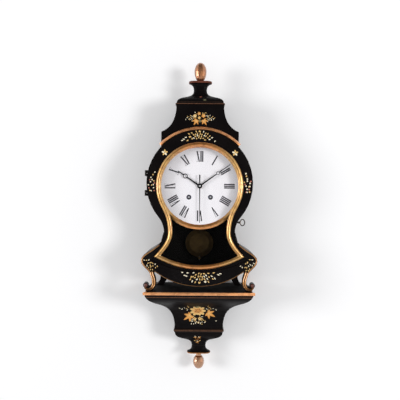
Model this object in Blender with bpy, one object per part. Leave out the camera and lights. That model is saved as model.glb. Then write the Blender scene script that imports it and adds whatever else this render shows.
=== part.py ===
"""Bracket clock with a waisted, lacquered case on its own wall bracket.

Units are metres, +Z is up, +X is to the viewer's right and the clock faces -Y.
The wall is the plane y = 0, and z = 0 lies on the back of the bracket's backboard.
"""

import math

import bmesh
import bpy
from mathutils import Matrix, Vector

# Clearances
FIT = 0.0003
DOOR_CLEARANCE = 0.0010
PIVOT_CLEARANCE = 0.0004
RUNNING_CLEARANCE = 0.0008

# Wall bracket
SHELF_TOP_Z = 0.055
SHELF_THICKNESS = 0.011
SHELF_HALF_FRONT = 0.1495
SHELF_HALF_BACK = 0.134
SHELF_DEPTH = 0.166
EDGE_THICKNESS = 0.006
EDGE_HEIGHT = 0.0075
WALL_BOARD_THICKNESS = 0.010
WALL_BOARD_HALF_TOP = 0.058
BRACKET_HALF_TOP = 0.1525
BRACKET_HALF_FOOT = 0.071
BRACKET_DEPTH_TOP = 0.150
BRACKET_DEPTH_FOOT = 0.068
BRACKET_HEIGHT = 0.112
BRACKET_WALL = 0.009
BRACKET_BEAD = 0.0035
CUP_HEIGHT = 0.058
CUP_BEAD_HEIGHT = 0.012
CUP_NECK_HALF = 0.021
CUP_NECK_DEPTH = 0.011
CUP_NECK_Y = -0.043
FLARE_HALF = 0.035
FLARE_HEIGHT = 0.022
BALL_RADIUS = 0.017
BALL_HALF_HEIGHT = 0.0216
BALL_STEM_RADIUS = 0.008
BALL_STEM_HEIGHT = 0.0066

# Case, heights above the shelf top
CASE_BACK_Y = -0.012
BACKBOARD_THICKNESS = 0.009
CASE_FRONT_Y = -0.128
CASE_WALL = 0.008
CASE_INSET = 0.002
RING_RADIUS = 0.1505
RING_HEIGHT = 0.304
WAIST_HALF = 0.100
WAIST_HEIGHT = 0.165
HIP_HALF = 0.164
HIP_HEIGHT = 0.085
CASE_FOOT_HALF = 0.139
CASE_FOOT_HEIGHT = 0.050
FLOOR_THICKNESS = 0.008
KNEE_THICKNESS = 0.022
LEG_WIDTH = 0.012
LEG_SWING = 0.012
FOOT_SPREAD = 0.0185
FOOT_SCROLL_RADIUS = 0.0072
FOOT_SCROLL_HEIGHT = 0.016
FOOT_TOE = 0.014
ANKLE_SHARE = 0.55
APRON_BOTTOM_HEIGHT = 0.013
APRON_END_HEIGHT = 0.056
REAR_LEG_DEPTH = 0.026
REAR_LEG_HALF = 0.124
REAR_LEG_WIDTH = 0.020

# Door
DOOR_THICKNESS = 0.018
DOOR_CORNER_HALF = 0.136
DOOR_CORNER_HEIGHT = 0.088
DOOR_BOTTOM_HEIGHT = 0.055
MOULDING_WIDTH = 0.013
MOULDING_RISE = 0.0065
MOULDING_MARGIN = 0.0115
MOULDING_FOOT_MARGIN = 0.0115
GLASS_THICKNESS = 0.003
GLASS_REBATE = 0.0030
HINGE_OFFSET = 0.0020
HINGE_SPREAD = 0.028
KNUCKLE_RADIUS = 0.0024
KNUCKLE_HEIGHT = 0.016
HINGE_PIN_RADIUS = 0.0011
HINGE_LEAF_LENGTH = 0.022
HINGE_PAD_WIDTH = 0.012

# Crest
CREST_CENTRE_Y = -0.076
CREST_HALF_DEPTH = 0.051
CREST_HALF = 0.111
CREST_CORNER_HEIGHT = 0.452
CREST_TOP_HALF = 0.068
CREST_TOP_HEIGHT = 0.530
CREST_TOP_HALF_DEPTH = 0.046
ARRIS_RADIUS = 0.003
DOME_HEIGHT = 0.050
DOME_BEAD_HEIGHT = 0.006
DOME_BEAD_RISE = 0.0035
NECK_HALF = 0.0193
NECK_DEPTH = 0.010
CAP_HALF = 0.0342
CAP_HEIGHT = 0.026
FINIAL_RADIUS = 0.018
FINIAL_HEIGHT = 0.057
FINIAL_BELLY = 0.031
ARCH_WIDTH = 0.0105
ARCH_THICKNESS = 0.016
ARCH_SPAN = math.radians(46)

# Dial and hands
DIAL_HEIGHT = 0.297
DIAL_RADIUS = 0.113
DIAL_FACETS = 44
DIAL_THICKNESS = 0.003
DIAL_FRONT_Y = -0.1225
BEZEL_INNER = 0.1105
BEZEL_OUTER = 0.125
BEZEL_THICKNESS = 0.0045
WINDING_HALF_SPACING = 0.031
WINDING_DROP = 0.032
WINDING_HOLE_RADIUS = 0.006
HOUR_HAND_LENGTH = 0.076
MINUTE_HAND_LENGTH = 0.107
SECONDS_HAND_LENGTH = 0.105
SECONDS_TAIL = 0.032
HAND_THICKNESS = 0.0010
HAND_GAP = 0.0016
HOUR_HAND_STANDOFF = 0.0040
HAND_EYE_RIM = 0.0022
HOUR_HAND_HALF = 0.0023
MINUTE_HAND_HALF = 0.0021
SECONDS_HAND_HALF = 0.0014
SECONDS_PAD_HALF = 0.0019
HOUR_MOON_REACH = 0.050
HOUR_MOON_RADIUS = 0.0070
MINUTE_MOON_REACH = 0.064
MINUTE_MOON_RADIUS = 0.0050
HOUR_REST = math.radians(304.5)
MINUTE_REST = math.radians(54.5)
SECONDS_REST = math.radians(180)
DIAL_FOOT_REACH = 0.060
DIAL_FOOT_RADIUS = 0.003

# Movement
PLATE_HALF_WIDTH = 0.066
PLATE_TOP = 0.062
PLATE_BOTTOM = 0.082
PLATE_THICKNESS = 0.003
FRONT_PLATE_Y = -0.108
PLATE_SPACING = 0.052
PILLAR_RADIUS = 0.005
PILLAR_INSET = 0.008
SEAT_THICKNESS = 0.012
PIVOT_RADIUS = 0.0020
ARBOR_RADIUS = 0.0025
SECONDS_ARBOR_RADIUS = 0.0009
CENTRE_TUBE_RADIUS = 0.0023
CANNON_RADIUS = 0.0035
HOUR_PIPE_RADIUS = 0.0051
ANCHOR_ARBOR_RADIUS = 0.0015
STUD_RADIUS = 0.0015
STUD_LENGTH = 0.0100
WHEEL_THICKNESS = 0.0022
WHEEL_LAYER_STEP = 0.0075
WHEEL_BOSS = 0.0070
WHEEL_RIM = 0.0045
DRUM_GAP = 0.0022
CENTRE_GAP = 0.0030
TUBE_END = 0.0015
CANNON_COVER = 0.0040
MOTION_GAP = 0.0010
PALLET_GAP = 0.0035
ESCAPE_TOOTH = 0.0030
ESCAPE_BOSS = 0.0050
GREAT_TEETH = 48
CENTRE_LEAVES = 6
CENTRE_TEETH = 48
THIRD_LEAVES = 6
THIRD_TEETH = 45
ESCAPE_LEAVES = 6
ESCAPE_TEETH = 30
ESCAPE_RADIUS = 0.018
THIRD_MODULE = 0.00133
THIRD_ANGLE = math.radians(155)
CANNON_TEETH = 10
MINUTE_WHEEL_TEETH = 30
MINUTE_PINION_TEETH = 8
HOUR_TEETH = 32
MOTION_MODULE = 0.00100
MOTION_ANGLE = math.radians(35)
BARREL_RADIUS = 0.022
BARREL_LENGTH = 0.018
WINDING_SQUARE = 0.0024
WINDING_SHOULDER = 0.0020

# Pendulum, strike and lock
PENDULUM_AXIS_RISE = 0.034
ANCHOR_CROWN = 0.004
PALLET_ANGLE = math.radians(39)
CRUTCH_LENGTH = 0.055
CRUTCH_HALF = 0.0030
CRUTCH_THICKNESS = 0.0025
PRONG_THICKNESS = 0.0012
PRONG_HEIGHT = 0.004
PENDULUM_Y = -0.036
PENDULUM_LENGTH = 0.205
PENDULUM_TAIL = 0.052
BOB_RADIUS = 0.0425
BOB_THICKNESS = 0.013
ROD_RADIUS = 0.0018
ROD_EYE_RADIUS = 0.0050
ROD_EYE_HALF = 0.0025
COCK_HALF = 0.006
COCK_THICKNESS = 0.003
COCK_FOOT_HEIGHT = 0.018
NUT_RADIUS = 0.005
NUT_HEIGHT = 0.005
BELL_RADIUS = 0.038
BELL_X = 0.020
BELL_DEPTH = 0.024
BELL_WALL = 0.0025
BELL_RISE = 0.118
BELL_HOLE_RADIUS = 0.0024
BELL_STUD_RADIUS = 0.0020
BELL_POST_RADIUS = 0.0040
BELL_ARM_DROP = 0.004
BELL_ARM_THICKNESS = 0.003
BELL_ARM_HALF = 0.005
BELL_FOOT_HEIGHT = 0.020
HAMMER_X = -0.040
HAMMER_RISE = 0.050
HAMMER_GAP = 0.0020
HAMMER_HEAD_RADIUS = 0.0050
HAMMER_HEAD_HALF = 0.007
HAMMER_ARM_HALF = 0.0014
HAMMER_HEAD_RISE = 0.003
KEY_HEIGHT = 0.1925
KEY_Y = -0.110
KEY_BOW_X = 0.1245
KEY_BOW_HALF_WIDTH = 0.0080
KEY_BOW_HALF_HEIGHT = 0.0107
KEY_WIRE_RADIUS = 0.0016
KEY_SHANK_RADIUS = 0.0022
HOOK_RADIUS = 0.0130
HOOK_THICKNESS = 0.0025
HOOK_WIDTH = 0.004
HOOK_LEAD = math.radians(34)
HOOK_HALF_ARM = math.radians(9)
HOOK_BOSS_RADIUS = 0.0042
KEEPER_THICKNESS = 0.0018
KEEPER_HEIGHT = 0.012
KEY_COLLAR = 0.003

# Places worked out from the sizes above
RING_Z = SHELF_TOP_Z + RING_HEIGHT
WAIST_Z = SHELF_TOP_Z + WAIST_HEIGHT
DIAL_Z = SHELF_TOP_Z + DIAL_HEIGHT
DOOR_BACK_Y = CASE_FRONT_Y - FIT
DOOR_FRONT_Y = DOOR_BACK_Y - DOOR_THICKNESS
KNEE_FRONT_Y = CASE_FRONT_Y - FIT - KNEE_THICKNESS
BACK_PLATE_Y = FRONT_PLATE_Y + PLATE_THICKNESS + PLATE_SPACING
PLATE_MIDDLE_Y = 0.5 * (FRONT_PLATE_Y + BACK_PLATE_Y + PLATE_THICKNESS)
HINGE_X = -RING_RADIUS - HINGE_OFFSET
HINGE_Y = DOOR_FRONT_Y - DOOR_CLEARANCE
FLOOR_BOTTOM_Z = SHELF_TOP_Z + CASE_FOOT_HEIGHT
SEAT_TOP_Z = DIAL_Z - PLATE_BOTTOM - FIT
PENDULUM_Z = DIAL_Z + PENDULUM_AXIS_RISE
KEY_Z = SHELF_TOP_Z + KEY_HEIGHT

LACQUER = (0.012, 0.010, 0.011, 1.0)
GILT = (0.60, 0.36, 0.10, 1.0)
BRASS = (0.62, 0.45, 0.16, 1.0)
STEEL = (0.33, 0.34, 0.36, 1.0)
BLUED = (0.02, 0.02, 0.035, 1.0)
ENAMEL = (0.90, 0.89, 0.90, 1.0)
WOOD = (0.16, 0.09, 0.045, 1.0)
GLASS = (0.85, 0.90, 0.90, 1.0)


def clear_scene():
    for old in list(bpy.data.objects):
        bpy.data.objects.remove(old, do_unlink=True)


def material(name, colour, roughness, metallic=0.0):
    found = bpy.data.materials.get(name)
    if found:
        return found
    made = bpy.data.materials.new(name)
    made.use_nodes = True
    shader = made.node_tree.nodes["Principled BSDF"]
    shader.inputs["Base Color"].default_value = colour
    shader.inputs["Roughness"].default_value = roughness
    shader.inputs["Metallic"].default_value = metallic
    made.diffuse_color = colour
    return made


FINISHES = {
    "lacquer": (LACQUER, 0.18, 0.0),
    "gilt": (GILT, 0.35, 0.9),
    "brass": (BRASS, 0.30, 1.0),
    "steel": (STEEL, 0.30, 1.0),
    "blued": (BLUED, 0.25, 0.8),
    "enamel": (ENAMEL, 0.20, 0.0),
    "wood": (WOOD, 0.60, 0.0),
    "glass": (GLASS, 0.05, 0.0),
}


def finish_object(name, bm, finish):
    """Turn a bmesh into a named object whose faces point out."""
    bmesh.ops.remove_doubles(bm, verts=bm.verts, dist=1e-7)
    bmesh.ops.recalc_face_normals(bm, faces=bm.faces)
    mesh = bpy.data.meshes.new(name)
    bm.to_mesh(mesh)
    bm.free()
    mesh.shade_smooth()
    mesh.set_sharp_from_angle(angle=math.radians(32))
    made = bpy.data.objects.new(name, mesh)
    bpy.context.scene.collection.objects.link(made)
    mesh.materials.append(material(name + "_finish", *FINISHES[finish]))
    return made


def combine(target, tool, operation):
    """Apply a Boolean with another object and remove that object."""
    modifier = target.modifiers.new(operation, "BOOLEAN")
    modifier.operation = operation
    modifier.solver = "EXACT"
    modifier.object = tool
    bpy.context.view_layer.update()
    graph = bpy.context.evaluated_depsgraph_get()
    result = bpy.data.meshes.new_from_object(target.evaluated_get(graph))
    old = target.data
    target.modifiers.clear()
    target.data = result
    result.name = target.name
    bpy.data.meshes.remove(old)
    bpy.data.objects.remove(tool, do_unlink=True)
    return target


def cut(target, tool):
    return combine(target, tool, "DIFFERENCE")


def join(target, tool):
    return combine(target, tool, "UNION")


def set_origin(thing, point):
    """Move an object's origin to a point, leaving its shape where it is."""
    shift = Vector(point)
    thing.data.transform(Matrix.Translation(-shift))
    thing.location = shift
    return thing


def add_loops(bm, loops, closed=False):
    """Skin a row of equal loops of points; cap the two ends unless it closes on itself."""
    rows = [[bm.verts.new(point) for point in loop] for loop in loops]
    pairs = list(zip(rows, rows[1:]))
    if closed:
        pairs.append((rows[-1], rows[0]))
    for lower, upper in pairs:
        count = len(lower)
        for i in range(count):
            j = (i + 1) % count
            bm.faces.new((lower[i], lower[j], upper[j], upper[i]))
    if not closed:
        bm.faces.new(rows[0])
        bm.faces.new(rows[-1])


def skin(name, loops, finish, closed=False):
    bm = bmesh.new()
    add_loops(bm, loops, closed)
    return finish_object(name, bm, finish)


def plate(name, outline, y_front, y_back, finish):
    """A flat board: an outline of (x, z) points between two depths."""
    loops = [[(x, y, z) for x, z in outline] for y in (y_front, y_back)]
    return skin(name, loops, finish)


def box(name, low, high, finish):
    outline = [(low[0], low[2]), (high[0], low[2]), (high[0], high[2]), (low[0], high[2])]
    return plate(name, outline, low[1], high[1], finish)


def circle(centre, radius, count, phase=0.0):
    steps = [phase + 2 * math.pi * i / count for i in range(count)]
    return [(centre[0] + radius * math.cos(a), centre[1] + radius * math.sin(a)) for a in steps]


def arc(centre, radius, start, end, count):
    steps = [start + (end - start) * i / count for i in range(count + 1)]
    return [(centre[0] + radius * math.cos(a), centre[1] + radius * math.sin(a)) for a in steps]


def bezier(p0, p1, p2, p3, count):
    points = []
    for i in range(count + 1):
        t = i / count
        s = 1 - t
        weights = (s ** 3, 3 * s * s * t, 3 * s * t * t, t ** 3)
        points.append(tuple(sum(w * p[k] for w, p in zip(weights, (p0, p1, p2, p3))) for k in (0, 1)))
    return points


def mirrored(half):
    """Close a right half outline, listed top to bottom, with its mirror on the left."""
    left = [(-x, z) for x, z in reversed(half) if x > 1e-6]
    return half + left


def offset(loop, distance):
    """Offset a closed outline outwards, with mitred corners."""
    area = sum(a[0] * b[1] - b[0] * a[1] for a, b in zip(loop, loop[1:] + loop[:1]))
    side = 1.0 if area > 0 else -1.0
    moved = []
    count = len(loop)
    for i in range(count):
        before = Vector(loop[i]) - Vector(loop[i - 1])
        after = Vector(loop[(i + 1) % count]) - Vector(loop[i])
        n1 = Vector((before.y, -before.x)).normalized() * side
        n2 = Vector((after.y, -after.x)).normalized() * side
        mitre = (n1 + n2).normalized()
        moved.append(tuple(Vector(loop[i]) + mitre * (distance / max(mitre.dot(n1), 0.3))))
    return moved


def lathe_z(name, centre, profile, count, finish, closed=False):
    """Turn (radius, z) points about a vertical axis; open ends are capped flat."""
    loops = []
    for radius, z in profile:
        ring = circle(centre, radius, count)
        loops.append([(x, y, z) for x, y in ring])
    return skin(name, loops, finish, closed)


def lathe_y(name, centre, profile, count, finish, closed=False):
    """Turn (radius, y) points about an axis along Y through the (x, z) centre."""
    loops = []
    for radius, y in profile:
        ring = circle(centre, radius, count)
        loops.append([(x, y, z) for x, z in ring])
    return skin(name, loops, finish, closed)


def sections(name, rows, finish):
    """Stack rectangles given as (half width, front y, back y, z)."""
    loops = []
    for half, front, back, z in rows:
        loops.append([(-half, front, z), (half, front, z), (half, back, z), (-half, back, z)])
    return skin(name, loops, finish)


def rounded_sections(name, rows, finish):
    """Stack round-cornered rectangles given as (half width, front y, back y, corner radius, z)."""
    loops = []
    for half, front, back, corner, z in rows:
        loop = []
        for turn, (x, y) in enumerate(((half, back), (-half, back), (-half, front), (half, front))):
            middle = (x - math.copysign(corner, x), y - corner if y == back else y + corner)
            start = 0.5 * math.pi * turn
            loop += [(px, py, z) for px, py in arc(middle, corner, start, start + 0.5 * math.pi, 3)]
        loops.append(loop)
    return skin(name, loops, finish)


# Wall bracket


def shelf_outline(extra):
    """Plan of the shelf: straight front, sides that curve in towards the wall."""
    back = -FIT
    front = -SHELF_DEPTH - extra
    corner = (SHELF_HALF_FRONT + extra, front)
    side = bezier((SHELF_HALF_BACK + extra, back), (SHELF_HALF_BACK + extra, 0.5 * front),
                  (SHELF_HALF_BACK + extra, 0.75 * front), corner, 8)
    left = [(-x, y) for x, y in reversed(side)]
    return side + left


def bracket_rows(inset, top_z):
    """Half widths and depths of the bracket's hollow body from top to foot."""
    curve = bezier((BRACKET_HALF_TOP, 0.0), (0.90 * BRACKET_HALF_TOP, -0.385 * BRACKET_HEIGHT),
                   (BRACKET_HALF_FOOT, -0.17 * BRACKET_HEIGHT), (BRACKET_HALF_FOOT, -BRACKET_HEIGHT), 14)
    back = -WALL_BOARD_THICKNESS - FIT
    rows = []
    for half, drop in curve:
        share = (half - BRACKET_HALF_FOOT) / (BRACKET_HALF_TOP - BRACKET_HALF_FOOT)
        depth = BRACKET_DEPTH_FOOT + share * (BRACKET_DEPTH_TOP - BRACKET_DEPTH_FOOT)
        rows.append((half - inset, back - depth + inset, back, top_z + drop))
    return rows


def build_bracket():
    top = SHELF_TOP_Z
    under = top - SHELF_THICKNESS
    plan = shelf_outline(0.0)
    skin("bracket_shelf", [[(x, y, z) for x, y in plan] for z in (top, under)], "lacquer")
    outer = shelf_outline(EDGE_THICKNESS + FIT)
    inner = shelf_outline(FIT)
    strip_plan = outer + list(reversed(inner))
    strip_z = (top, top - EDGE_HEIGHT)
    skin("shelf_gilt_edge", [[(x, y, z) for x, y in strip_plan] for z in strip_z], "gilt")

    body_top = under - FIT
    body = sections("bracket_body", bracket_rows(0.0, body_top), "lacquer")
    hollow_rows = bracket_rows(BRACKET_WALL, body_top)
    lid = hollow_rows[0]
    foot = hollow_rows[-1]
    open_back = -WALL_BOARD_THICKNESS + BRACKET_WALL
    cutter_rows = [(lid[0], lid[1], open_back, lid[3] + BRACKET_WALL)]
    cutter_rows += [(half, front, open_back, z) for half, front, back, z in hollow_rows]
    cutter_rows.append((foot[0], foot[1], open_back, foot[3] - BRACKET_WALL))
    cut(body, sections("hollow", cutter_rows, "lacquer"))

    cup_top = body_top - BRACKET_HEIGHT - FIT
    foot_back = -WALL_BOARD_THICKNESS - FIT
    foot_front = foot_back - BRACKET_DEPTH_FOOT
    rows = []
    for part in range(5):
        swell = BRACKET_BEAD * math.sin(math.pi * part / 4)
        z = cup_top - CUP_BEAD_HEIGHT * part / 4
        rows.append((BRACKET_HALF_FOOT + swell, foot_front - swell, foot_back, ARRIS_RADIUS, z))
    drop = CUP_HEIGHT - CUP_BEAD_HEIGHT
    start = cup_top - CUP_BEAD_HEIGHT
    curve = bezier((BRACKET_HALF_FOOT, 0.0), (BRACKET_HALF_FOOT, -0.60 * drop),
                   (CUP_NECK_HALF, -0.36 * drop), (CUP_NECK_HALF, -drop), 10)
    neck_corner = 0.9 * CUP_NECK_DEPTH
    for half, fall in curve[1:]:
        share = (half - CUP_NECK_HALF) / (BRACKET_HALF_FOOT - CUP_NECK_HALF)
        front = (CUP_NECK_Y - CUP_NECK_DEPTH) * (1 - share) + foot_front * share
        back = (CUP_NECK_Y + CUP_NECK_DEPTH) * (1 - share) + foot_back * share
        corner = neck_corner * (1 - share) + ARRIS_RADIUS * share
        rows.append((half, front, back, corner, start + fall))
    rounded_sections("bracket_cup", rows, "lacquer")

    flare_top = cup_top - CUP_HEIGHT - FIT
    curve = bezier((CUP_NECK_HALF, 0.0), (CUP_NECK_HALF, -0.35 * FLARE_HEIGHT),
                   (0.62 * FLARE_HALF, -0.62 * FLARE_HEIGHT), (FLARE_HALF, -0.86 * FLARE_HEIGHT), 6)
    curve.append((FLARE_HALF, -FLARE_HEIGHT))
    rows = []
    for half, fall in curve:
        depth = half * CUP_NECK_DEPTH / CUP_NECK_HALF
        rows.append((half, CUP_NECK_Y - depth, CUP_NECK_Y + depth, 0.9 * depth, flare_top + fall))
    rounded_sections("bracket_flare", rows, "lacquer")

    ball_top = flare_top - FLARE_HEIGHT - FIT
    profile = [(BALL_STEM_RADIUS, ball_top)]
    centre_z = ball_top - BALL_STEM_HEIGHT - BALL_HALF_HEIGHT
    start_angle = math.acos(BALL_STEM_RADIUS / BALL_RADIUS)
    for x, z in arc((0.0, 0.0), 1.0, start_angle, -0.47 * math.pi, 8):
        profile.append((BALL_RADIUS * x, centre_z + BALL_HALF_HEIGHT * z))
    lathe_z("bracket_finial", (0.0, CUP_NECK_Y), profile, 16, "gilt")

    board_foot = cup_top - CUP_BEAD_HEIGHT
    outline = [(-WALL_BOARD_HALF_TOP, body_top), (WALL_BOARD_HALF_TOP, body_top),
               (WALL_BOARD_HALF_TOP, board_foot), (-WALL_BOARD_HALF_TOP, board_foot)]
    plate("bracket_backboard", outline, -WALL_BOARD_THICKNESS, 0.0, "wood")


# Outlines of the waisted case and door


def fillet(ring_centre_z, radius, half, level):
    """Arc that leaves a circle smoothly and is upright at the waist: centre x, radius and joining angle."""
    fall = ring_centre_z - level
    bend = (half * half + fall * fall - radius * radius) / (2 * (radius - half))
    centre_x = half + bend
    angle = math.atan2(-fall, centre_x)
    return centre_x, bend, angle


def ring_and_waist(centre_z, radius, half, level, start):
    """Right half of a ring from a start angle down to the waist."""
    centre_x, bend, angle = fillet(centre_z, radius, half, level)
    points = arc((0.0, centre_z), radius, start, angle, 16)
    points += arc((centre_x, level), bend, math.pi + angle, math.pi, 5)[1:]
    return points


def door_half(grow):
    """Right half of the door's edge from the ring's top to its bottom arc."""
    half = WAIST_HALF + grow
    corner = (DOOR_CORNER_HALF + grow, SHELF_TOP_Z + DOOR_CORNER_HEIGHT - grow)
    points = ring_and_waist(RING_Z, RING_RADIUS + grow, half, WAIST_Z, 0.5 * math.pi)
    fall = WAIST_Z - corner[1]
    points += bezier((half, WAIST_Z), (half, WAIST_Z - 0.36 * fall),
                     (half + 0.45 * (corner[0] - half), WAIST_Z - 0.66 * fall), corner, 6)[1:]
    low = SHELF_TOP_Z + DOOR_BOTTOM_HEIGHT - grow
    points += sag(corner, low, 7)[1:]
    return points


def sag(corner, low, count):
    """Arc from a corner on the right down to its lowest point on the centre line."""
    drop = corner[1] - low
    radius = (corner[0] ** 2 + drop ** 2) / (2 * drop)
    centre_z = low + radius
    start = math.atan2(corner[1] - centre_z, corner[0])
    return arc((0.0, centre_z), radius, start, -0.5 * math.pi, count)


def sight_half():
    """Right half of the moulding's middle line round the dial and the pendulum window."""
    middle = DIAL_RADIUS + 0.5 * MOULDING_WIDTH - 0.002
    half = WAIST_HALF - MOULDING_MARGIN - 0.5 * MOULDING_WIDTH
    points = ring_and_waist(DIAL_Z, middle, half, WAIST_Z, 0.5 * math.pi)
    margin = MOULDING_MARGIN + 0.5 * MOULDING_WIDTH
    corner = (DOOR_CORNER_HALF - margin, SHELF_TOP_Z + DOOR_CORNER_HEIGHT + 0.6 * margin)
    fall = WAIST_Z - corner[1]
    points += bezier((half, WAIST_Z), (half, WAIST_Z - 0.36 * fall),
                     (half + 0.45 * (corner[0] - half), WAIST_Z - 0.66 * fall), corner, 6)[1:]
    low = SHELF_TOP_Z + DOOR_BOTTOM_HEIGHT + MOULDING_FOOT_MARGIN
    points += sag(corner, low, 7)[1:]
    return points


def case_side(grow):
    """Right half of the case's side from the ring's top to its foot on the floor."""
    half = WAIST_HALF - CASE_INSET + grow
    points = ring_and_waist(RING_Z, RING_RADIUS - CASE_INSET + grow, half, WAIST_Z, 0.5 * math.pi)
    return points + hip_curve(half, grow)


def hip_curve(half, grow):
    """From the waist over the hip and in again to the case's foot."""
    hip = (HIP_HALF + grow, SHELF_TOP_Z + HIP_HEIGHT)
    foot = (CASE_FOOT_HALF + grow, FLOOR_BOTTOM_Z)
    fall = WAIST_Z - hip[1]
    points = bezier((half, WAIST_Z), (half, WAIST_Z - 0.62 * fall),
                    (hip[0], hip[1] + 0.38 * fall), hip, 9)[1:]
    drop = hip[1] - foot[1]
    swing = 0.7 * foot[0] + 0.3 * hip[0]
    points += bezier(hip, (hip[0], hip[1] - 0.4 * drop), (swing, foot[1] + 0.35 * drop), foot, 5)[1:]
    return points


# Case


def build_case():
    outer = case_side(0.0)
    inner = case_side(-CASE_WALL)
    shell_front = CASE_FRONT_Y
    shell_back = CASE_BACK_Y - BACKBOARD_THICKNESS - FIT
    left_outer = [(-x, z) for x, z in reversed(outer) if x > 1e-6]
    left_inner = [(-x, z) for x, z in reversed(inner) if x > 1e-6]
    outline = list(reversed(outer)) + list(reversed(left_outer)) + left_inner + inner
    shell = plate("case_shell", outline, shell_front, shell_back, "lacquer")

    plate("case_backboard", mirrored(case_side(0.0)), CASE_BACK_Y - BACKBOARD_THICKNESS, CASE_BACK_Y, "wood")

    foot_inner = CASE_FOOT_HALF - CASE_WALL - FIT
    box("case_floor", (-foot_inner, shell_front, FLOOR_BOTTOM_Z),
        (foot_inner, shell_back, FLOOR_BOTTOM_Z + FLOOR_THICKNESS), "wood")
    cut_keyhole(shell)
    build_apron()
    for side, label in ((-1, "left"), (1, "right")):
        build_front_leg(side, label)
        build_rear_leg(side, label)


def cut_keyhole(shell):
    radius = KEY_SHANK_RADIUS + PIVOT_CLEARANCE
    hole = tube_x("keyhole", (KEY_Y, KEY_Z), [(radius, 0.0), (radius, KEY_BOW_X)], 12, "steel")
    cut(shell, hole)


def tube_x(name, centre, profile, count, finish):
    """Turn (radius, x) points about an axis along X through the (y, z) centre."""
    loops = []
    for radius, x in profile:
        ring = circle(centre, radius, count)
        loops.append([(x, y, z) for y, z in ring])
    return skin(name, loops, finish)


def apron_top():
    """Upper edge of the apron, just under the door's bottom arc, from right to left."""
    corner = (DOOR_CORNER_HALF, SHELF_TOP_Z + DOOR_CORNER_HEIGHT)
    right = sag(corner, SHELF_TOP_Z + DOOR_BOTTOM_HEIGHT, 8)
    return [(x, z - DOOR_CLEARANCE) for x, z in right]


def leg_joint_half():
    return CASE_FOOT_HALF - LEG_WIDTH


def build_apron():
    end = leg_joint_half() - FIT
    top = [point for point in apron_top() if point[0] < end]
    low = SHELF_TOP_Z + APRON_BOTTOM_HEIGHT
    corner = (end, SHELF_TOP_Z + APRON_END_HEIGHT)
    lower = sag(corner, low, 10)
    first = (end, top[0][1] + (end - top[0][0]) * 0.4)
    half = [first] + top
    right_lower = list(reversed(lower))
    left_top = [(-x, z) for x, z in reversed(half) if x > 1e-6]
    left_lower = [(-x, z) for x, z in lower if x > 1e-6]
    outline = half + left_top + left_lower + right_lower
    plate("front_apron", outline, KNEE_FRONT_Y, CASE_FRONT_Y - FIT, "lacquer")


def build_front_leg(side, label):
    """Knee board that flanks the door, running down into a scrolled foot."""
    edge = [point for point in door_half(DOOR_CLEARANCE) if point[1] <= WAIST_Z and point[0] > WAIST_HALF]
    corner_x = DOOR_CORNER_HALF + DOOR_CLEARANCE
    flank = [point for point in edge if point[1] >= SHELF_TOP_Z + DOOR_CORNER_HEIGHT - 2 * DOOR_CLEARANCE]
    flank = [point for point in flank if point[0] <= corner_x + FIT]
    joint = leg_joint_half() + FIT
    knee = hip_curve(WAIST_HALF, 0.0)
    knee = [point for point in knee if point[0] > flank[0][0] + 0.004]
    foot_z = SHELF_TOP_Z + FIT
    top_z = FLOOR_BOTTOM_Z
    ankle = SHELF_TOP_Z + ANKLE_SHARE * CASE_FOOT_HEIGHT
    tip = CASE_FOOT_HALF + FOOT_SPREAD
    eye = (tip - FOOT_SCROLL_RADIUS, foot_z + FOOT_SCROLL_HEIGHT)
    outer = bezier((CASE_FOOT_HALF, top_z), (CASE_FOOT_HALF - 0.3 * LEG_SWING, top_z - LEG_SWING),
                   (CASE_FOOT_HALF - 1.2 * LEG_SWING, ankle - 0.9 * LEG_SWING),
                   (eye[0] - FOOT_SCROLL_RADIUS, eye[1] - 0.4 * FOOT_SCROLL_RADIUS), 8)[1:]
    scroll = arc(eye, FOOT_SCROLL_RADIUS, math.radians(200), math.radians(-90), 9)
    toe_x = eye[0] - FOOT_TOE
    toe = [(eye[0], foot_z), (toe_x, foot_z)]
    inner = bezier((toe_x, foot_z), (joint - 0.4 * LEG_SWING, foot_z + 0.2 * LEG_SWING),
                   (joint - 0.9 * LEG_SWING, ankle - 0.4 * LEG_SWING),
                   (joint, top_z - 2 * DOOR_CLEARANCE), 8)[1:]
    outline = knee + outer + scroll + toe + inner
    apron_z = corner_height_on_leg()
    outline += [(joint, apron_z)]
    outline += list(reversed(flank))
    if side < 0:
        outline = [(-x, z) for x, z in outline]
    plate(label + "_front_leg", outline, KNEE_FRONT_Y, CASE_FRONT_Y - FIT, "lacquer")


def corner_height_on_leg():
    """Height at which the leg's inner edge meets the door's lower corner."""
    return SHELF_TOP_Z + DOOR_CORNER_HEIGHT - 3 * DOOR_CLEARANCE - (DOOR_CORNER_HALF - leg_joint_half()) * 0.3


def build_rear_leg(side, label):
    """Plain S-shaped leg under the back of the case."""
    foot_z = SHELF_TOP_Z + FIT
    top_z = FLOOR_BOTTOM_Z - FIT
    height = top_z - foot_z
    outer = bezier((REAR_LEG_HALF, top_z), (REAR_LEG_HALF - 0.010, top_z - 0.4 * height),
                   (REAR_LEG_HALF - 0.012, foot_z + 0.3 * height), (REAR_LEG_HALF + 0.006, foot_z), 8)
    inner = [(x - REAR_LEG_WIDTH, z) for x, z in reversed(outer)]
    outline = [(side * x, z) for x, z in outer + inner]
    back = CASE_BACK_Y - BACKBOARD_THICKNESS - FIT
    plate(label + "_rear_leg", outline, back - REAR_LEG_DEPTH, back, "lacquer")


# Crest


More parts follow.
